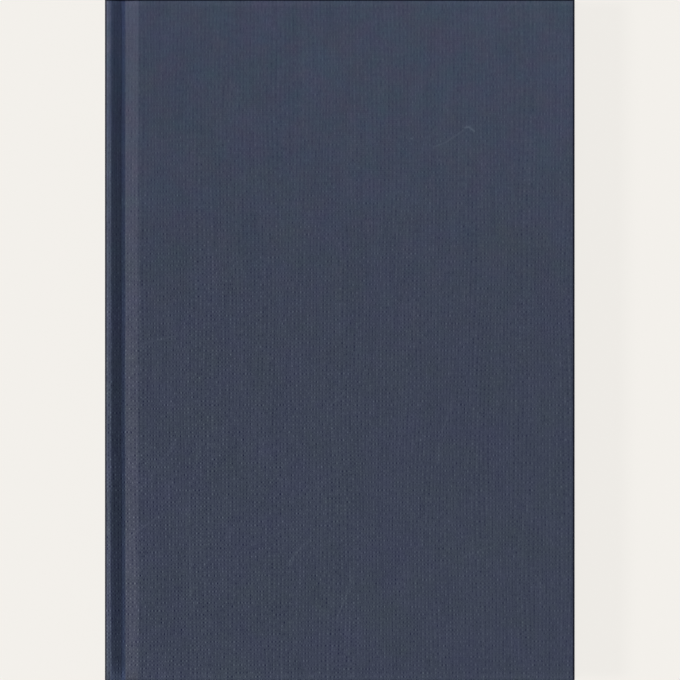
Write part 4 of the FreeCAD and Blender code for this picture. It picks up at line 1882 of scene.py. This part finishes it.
@dataclass
class Endpaper:
    """A folded endpaper: its flyleaf on the block, and its other leaf pasted down inside a cover."""

    side: Side
    sizes: CaseSizes
    finish: bpy.types.Material
    thickness: float = 0.15 * MM
    pasted_fold: float = 0.6 * MM  # of the pasted leaf, how much stays with the block at the fold
    bend_reach: float = 1.0 * MM
    bend_step: float = 0.1 * MM
    past_joint: Pair = (10 * MM, 12 * MM)  # two rows of points on the flat paper there
    row_step: float = 8 * MM
    fold_steps: int = 10

    def sweep(self, name: str, line: Sequence[Pair], head: float) -> bpy.types.Object:
        """Sweep a sheet's section from tail to head.

        Args:
            name: The piece's name.
            line: The middle of the sheet's section, as (distance, depth).
            head: Where the sheet ends at the head, the tail being opposite.

        Returns:
            The sheet, closed, with its place on the flat paper in its UV map.
        """
        shell = SheetShell()
        points = [Vector(point) for point in line]
        runs = [0.0]
        for before, here in zip(points, points[1:]):
            runs.append(runs[-1] + (here - before).length)
        loop = []
        for offset, order in ((0.5, range(len(points))), (-0.5, reversed(range(len(points))))):
            for i in order:
                ahead = points[min(i + 1, len(points) - 1)] - points[max(i - 1, 0)]
                aside = Vector((-ahead.y, ahead.x)).normalized() * (self.thickness * offset)
                loop.append((points[i] + aside, points[0].x + runs[i]))
        rows = np.linspace(-head, head, math.ceil(2 * head / self.row_step) + 1)
        grid = [
            [shell.corner(self.sizes.place(self.side, at.x, at.y, y), (run, y)) for at, run in loop]
            for y in rows
        ]
        around = len(loop)
        for one, two in zip(grid, grid[1:]):
            for i in range(around):
                after = (i + 1) % around
                shell.face([one[i], one[after], two[after], two[i]])
        for end in (grid[0], grid[-1]):
            for i in range(len(points) - 1):
                shell.face([end[i], end[i + 1], end[around - 2 - i], end[around - 1 - i]])
        return finish_shape(name, shell.shape, self.finish)

    def depth(self, low: float, high: float) -> float:
        """How deep a layer's middle lies below its cover's outer face."""
        middle = (low + high) / 2
        return middle if self.side is Side.BACK else self.sizes.thickness - middle

    def fit_flyleaf(self, middle: float) -> None:
        """Fit the leaf that stays with the block, with its fold.

        Args:
            middle: How deep the pasted leaf's middle lies.
        """
        low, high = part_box(f"{self.side.value}_endpaper")
        start, end = low.x - self.sizes.start, high.x - self.sizes.start
        apart = high.z - low.z - self.thickness
        below, radius = middle + apart, apart / 2
        centre = start + self.thickness / 2 + radius
        flat = [(place, below) for place in (end, 0.5 * end, self.past_joint[0])]
        fold = [
            (centre - radius * math.cos(angle), middle + radius - radius * math.sin(angle))
            for angle in np.linspace(-math.pi / 2, math.pi / 2, self.fold_steps)
        ]
        line = [*flat, *fold, (start + self.pasted_fold, middle)]
        piece = self.sweep(f"{self.side.value}_flyleaf", line, high.y)
        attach(piece, "block")
        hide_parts(f"{self.side.value}_endpaper")

    def fit_pasted_leaf(self, middle: float, head: float) -> None:
        """Fit the leaf that is pasted down.

        Args:
            middle: How deep its middle lies.
            head: Where it ends at the head.
        """
        s = self.sizes
        low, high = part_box(f"{self.side.value}_endpaper")
        start, end = low.x - s.start, high.x - s.start
        near, far = s.hinge - self.bend_reach, s.hinge + self.bend_reach
        bend = np.arange(near, far + self.bend_step / 2, self.bend_step)
        places = [start + self.pasted_fold, *bend, *self.past_joint, 0.5 * end, end]
        line = [(float(place), middle) for place in places]
        piece = self.sweep(f"{self.side.value}_pasted_leaf", line, head)
        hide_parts(f"{self.side.value}_pastedown")
        ends = [s.place(self.side, place, middle, 0.0) for place in (near, far)]
        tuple(ends[0])
        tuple(ends[1])
        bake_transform(piece)

    def fit(self) -> None:
        """Fit both leaves."""
        low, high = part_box(f"{self.side.value}_pastedown")
        middle = self.depth(low.z, high.z)
        self.fit_flyleaf(middle)
        self.fit_pasted_leaf(middle, high.y)


def finish_shape(name: str, shape: bmesh.types.BMesh, material: bpy.types.Material) -> bpy.types.Object:
    """Turn a shape into a mesh object with outward faces and crisp corners.

    Args:
        name: Its name.
        shape: The shape, which is freed.
        material: What it is made of.

    Returns:
        The object.
    """
    bmesh.ops.recalc_face_normals(shape, faces=shape.faces)
    for face in shape.faces:
        face.smooth = True
    for edge in shape.edges:
        edge.smooth = len(edge.link_faces) == 2 and edge.calc_face_angle(0.0) < CRISP_ANGLE
    open_edges = sum(edge.is_boundary for edge in shape.edges)
    mesh = bpy.data.meshes.new(name)
    shape.to_mesh(mesh)
    shape.free()
    mesh.materials.append(material)
    piece = bpy.data.objects.new(name, mesh)
    bpy.context.scene.collection.objects.link(piece)
    log.info("%s: %d faces, %d open edges", name, len(mesh.polygons), open_edges)
    return piece


def soft_slab(
    name: str,
    low: Vector,
    high: Vector,
    material: bpy.types.Material,
    step: float = 1 * MM,
    rounding: float = 0.3,
    rounding_steps: int = 2,
) -> bpy.types.Object:
    """Make a thin slab with softened edges.

    Args:
        name: Its name.
        low: Its lowest corner.
        high: Its highest corner.
        material: What it is made of.
        step: The largest distance between its points along its two long sides.
        rounding: How much of its thickness each edge's bevel takes.
        rounding_steps: How many faces the bevel has.

    Returns:
        The slab.
    """
    size = high - low
    thin = min(range(3), key=lambda axis: size[axis])
    shape = bmesh.new()
    made = bmesh.ops.create_cube(shape, size=1.0)
    for vertex in made["verts"]:
        vertex.co = Vector((low[k] + (vertex.co[k] + 0.5) * size[k] for k in range(3)))
    long_edges = [
        edge
        for edge in shape.edges
        if abs((edge.verts[0].co - edge.verts[1].co)[thin]) < size[thin] / 2
    ]
    bmesh.ops.bevel(
        shape,
        geom=long_edges,
        offset=size[thin] * rounding,
        segments=rounding_steps,
        affect="EDGES",
    )
    for axis in range(3):
        if axis == thin:
            continue
        normal = Vector((float(axis == k) for k in range(3)))
        for place in np.arange(low[axis] + step, high[axis] - step / 2, step):
            whole = shape.verts[:] + shape.edges[:] + shape.faces[:]
            bmesh.ops.bisect_plane(shape, geom=whole, plane_co=normal * float(place), plane_no=normal)
    return finish_shape(name, shape, material)


# --- studio -------------------------------------------------------------------------------------------


@dataclass
class Studio:
    """The floor, the light and the camera, which looks straight down on the front cover."""

    centre: Vector
    top: float
    paper: StudioPaper = StudioPaper()
    floor_size: float = 12.0
    floor_gap: float = 0.02 * MM
    ambient: float = 0.25
    key_strength: float = 3.33
    key_azimuth: float = 180.0  # from beyond the spine
    key_elevation: float = 45.0
    key_softness: float = 12.0
    fill_strength: float = 0.5
    fill_elevation: float = 2.5
    fill_softness: float = 4.0
    lens: float = 300.0
    sensor: float = 36.0
    framed_width: float = 212.71 * MM
    aim: Pair = (0.08 * MM, -0.005 * MM)  # of the camera, off the book's centre

    def add_sun(
        self, name: str, azimuth: float, elevation: float, strength: float, softness: float
    ) -> None:
        """Add a sun.

        Args:
            name: Its name.
            azimuth: Where its light comes from, in degrees from +X towards +Y.
            elevation: How high it stands, in degrees.
            strength: Its strength.
            softness: How wide it looks, in degrees.
        """
        lamp = bpy.data.lights.new(name, "SUN")
        lamp.energy = strength
        lamp.angle = math.radians(softness)
        sun = bpy.data.objects.new(name, lamp)
        around, up = math.radians(azimuth), math.radians(elevation)
        level = math.cos(up)
        source = Vector((math.cos(around) * level, math.sin(around) * level, math.sin(up)))
        sun.rotation_euler = (-source).to_track_quat("-Z", "Y").to_euler()
        bpy.context.scene.collection.objects.link(sun)

    def light(self) -> None:
        """Add the key light, low fills from the other three sides, and the backdrop."""
        self.add_sun("key", self.key_azimuth, self.key_elevation, self.key_strength, self.key_softness)
        for name, azimuth in (("fore_fill", 0.0), ("head_fill", 90.0), ("tail_fill", -90.0)):
            self.add_sun(name, azimuth, self.fill_elevation, self.fill_strength, self.fill_softness)
        bpy.context.scene.world = self.paper.backdrop(self.ambient)

    def lay_floor(self) -> None:
        """Lay the floor just under the book."""
        mesh = bpy.data.meshes.new("floor")
        half = self.floor_size / 2
        corners = [(-half, -half), (half, -half), (half, half), (-half, half)]
        mesh.from_pydata([(x, y, -self.floor_gap) for x, y in corners], [], [(0, 1, 2, 3)])
        mesh.materials.append(self.paper.floor())
        floor = bpy.data.objects.new("floor", mesh)
        bpy.context.scene.collection.objects.link(floor)
        floor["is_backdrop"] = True

    def aim_camera(self) -> None:
        """Put a long lens straight above the book."""
        data = bpy.data.cameras.new("camera")
        data.lens = self.lens
        data.sensor_width = self.sensor
        camera = bpy.data.objects.new("camera", data)
        distance = self.framed_width * self.lens / self.sensor
        camera.location = (self.centre.x + self.aim[0], self.centre.y + self.aim[1], self.top + distance)
        bpy.context.scene.collection.objects.link(camera)
        bpy.context.scene.camera = camera

    def set_up(self) -> None:
        """Set up the whole studio."""
        self.lay_floor()
        self.light()
        self.aim_camera()
        bpy.context.scene.view_settings.view_transform = "Standard"


def dress(frame: dict[str, Any], material: bpy.types.Material, *nodes: str) -> None:
    """Give CAD nodes that stay a better material.

    Args:
        frame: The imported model.
        material: The material.
        nodes: The nodes' names.
    """
    for node in nodes:
        for slot in frame["nodes"][node].material_slots:
            slot.material = material
        log.info("%s: dressed", node)


def main() -> None:
    """Build the book's looks round its frame."""
    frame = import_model()
    cad_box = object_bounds()
    low, high = cad_box
    Studio(centre=(low + high) / 2, top=high.z).set_up()

    sizes = CaseSizes.from_frame(frame["joints"][0]["pos_m"][0])
    section = CaseSection(sizes)
    cloth = BookCloth(section.marks()).material()
    for side in Side:
        CaseCloth(side, section, cloth).fit()

    wing_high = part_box("front_mull_wing")[1]
    endpaper = EndpaperStock(
        turned_in_from=sizes.width - sizes.turn_in,
        turned_in_above=sizes.height / 2 - sizes.turn_in,
        mull_end=wing_high.x - sizes.start,
        mull_above=wing_high.y,
    ).material()
    for side in Side:
        Endpaper(side, sizes, endpaper).fit()

    leaf_low, leaf_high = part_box("page_block")
    LeafBlock(LEAF_PAPER.material(leaf_high.x - leaf_low.x, leaf_high.y - leaf_low.y)).fit()
    winding, tape = BAND_SILK.material(), BAND_TAPE.material()
    for node in ("head_band", "tail_band"):
        EndBand(node, winding, tape).fit()

    dress(frame, GREYBOARD.material(), "front_board", "back_board", "spine_board")
    dress(frame, Gauze().material(), "mull", "front_mull_wing", "back_mull_wing")
    dress(frame, KRAFT.material(), "spine_lining")
    dress(frame, LINEN_THREAD.material(), "sewing_thread")
    boxes = {"cad": cad_box, "visual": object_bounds()}
    {name: [list(corner) for corner in box] for name, box in boxes.items()}


if __name__ == "__main__":
    main()
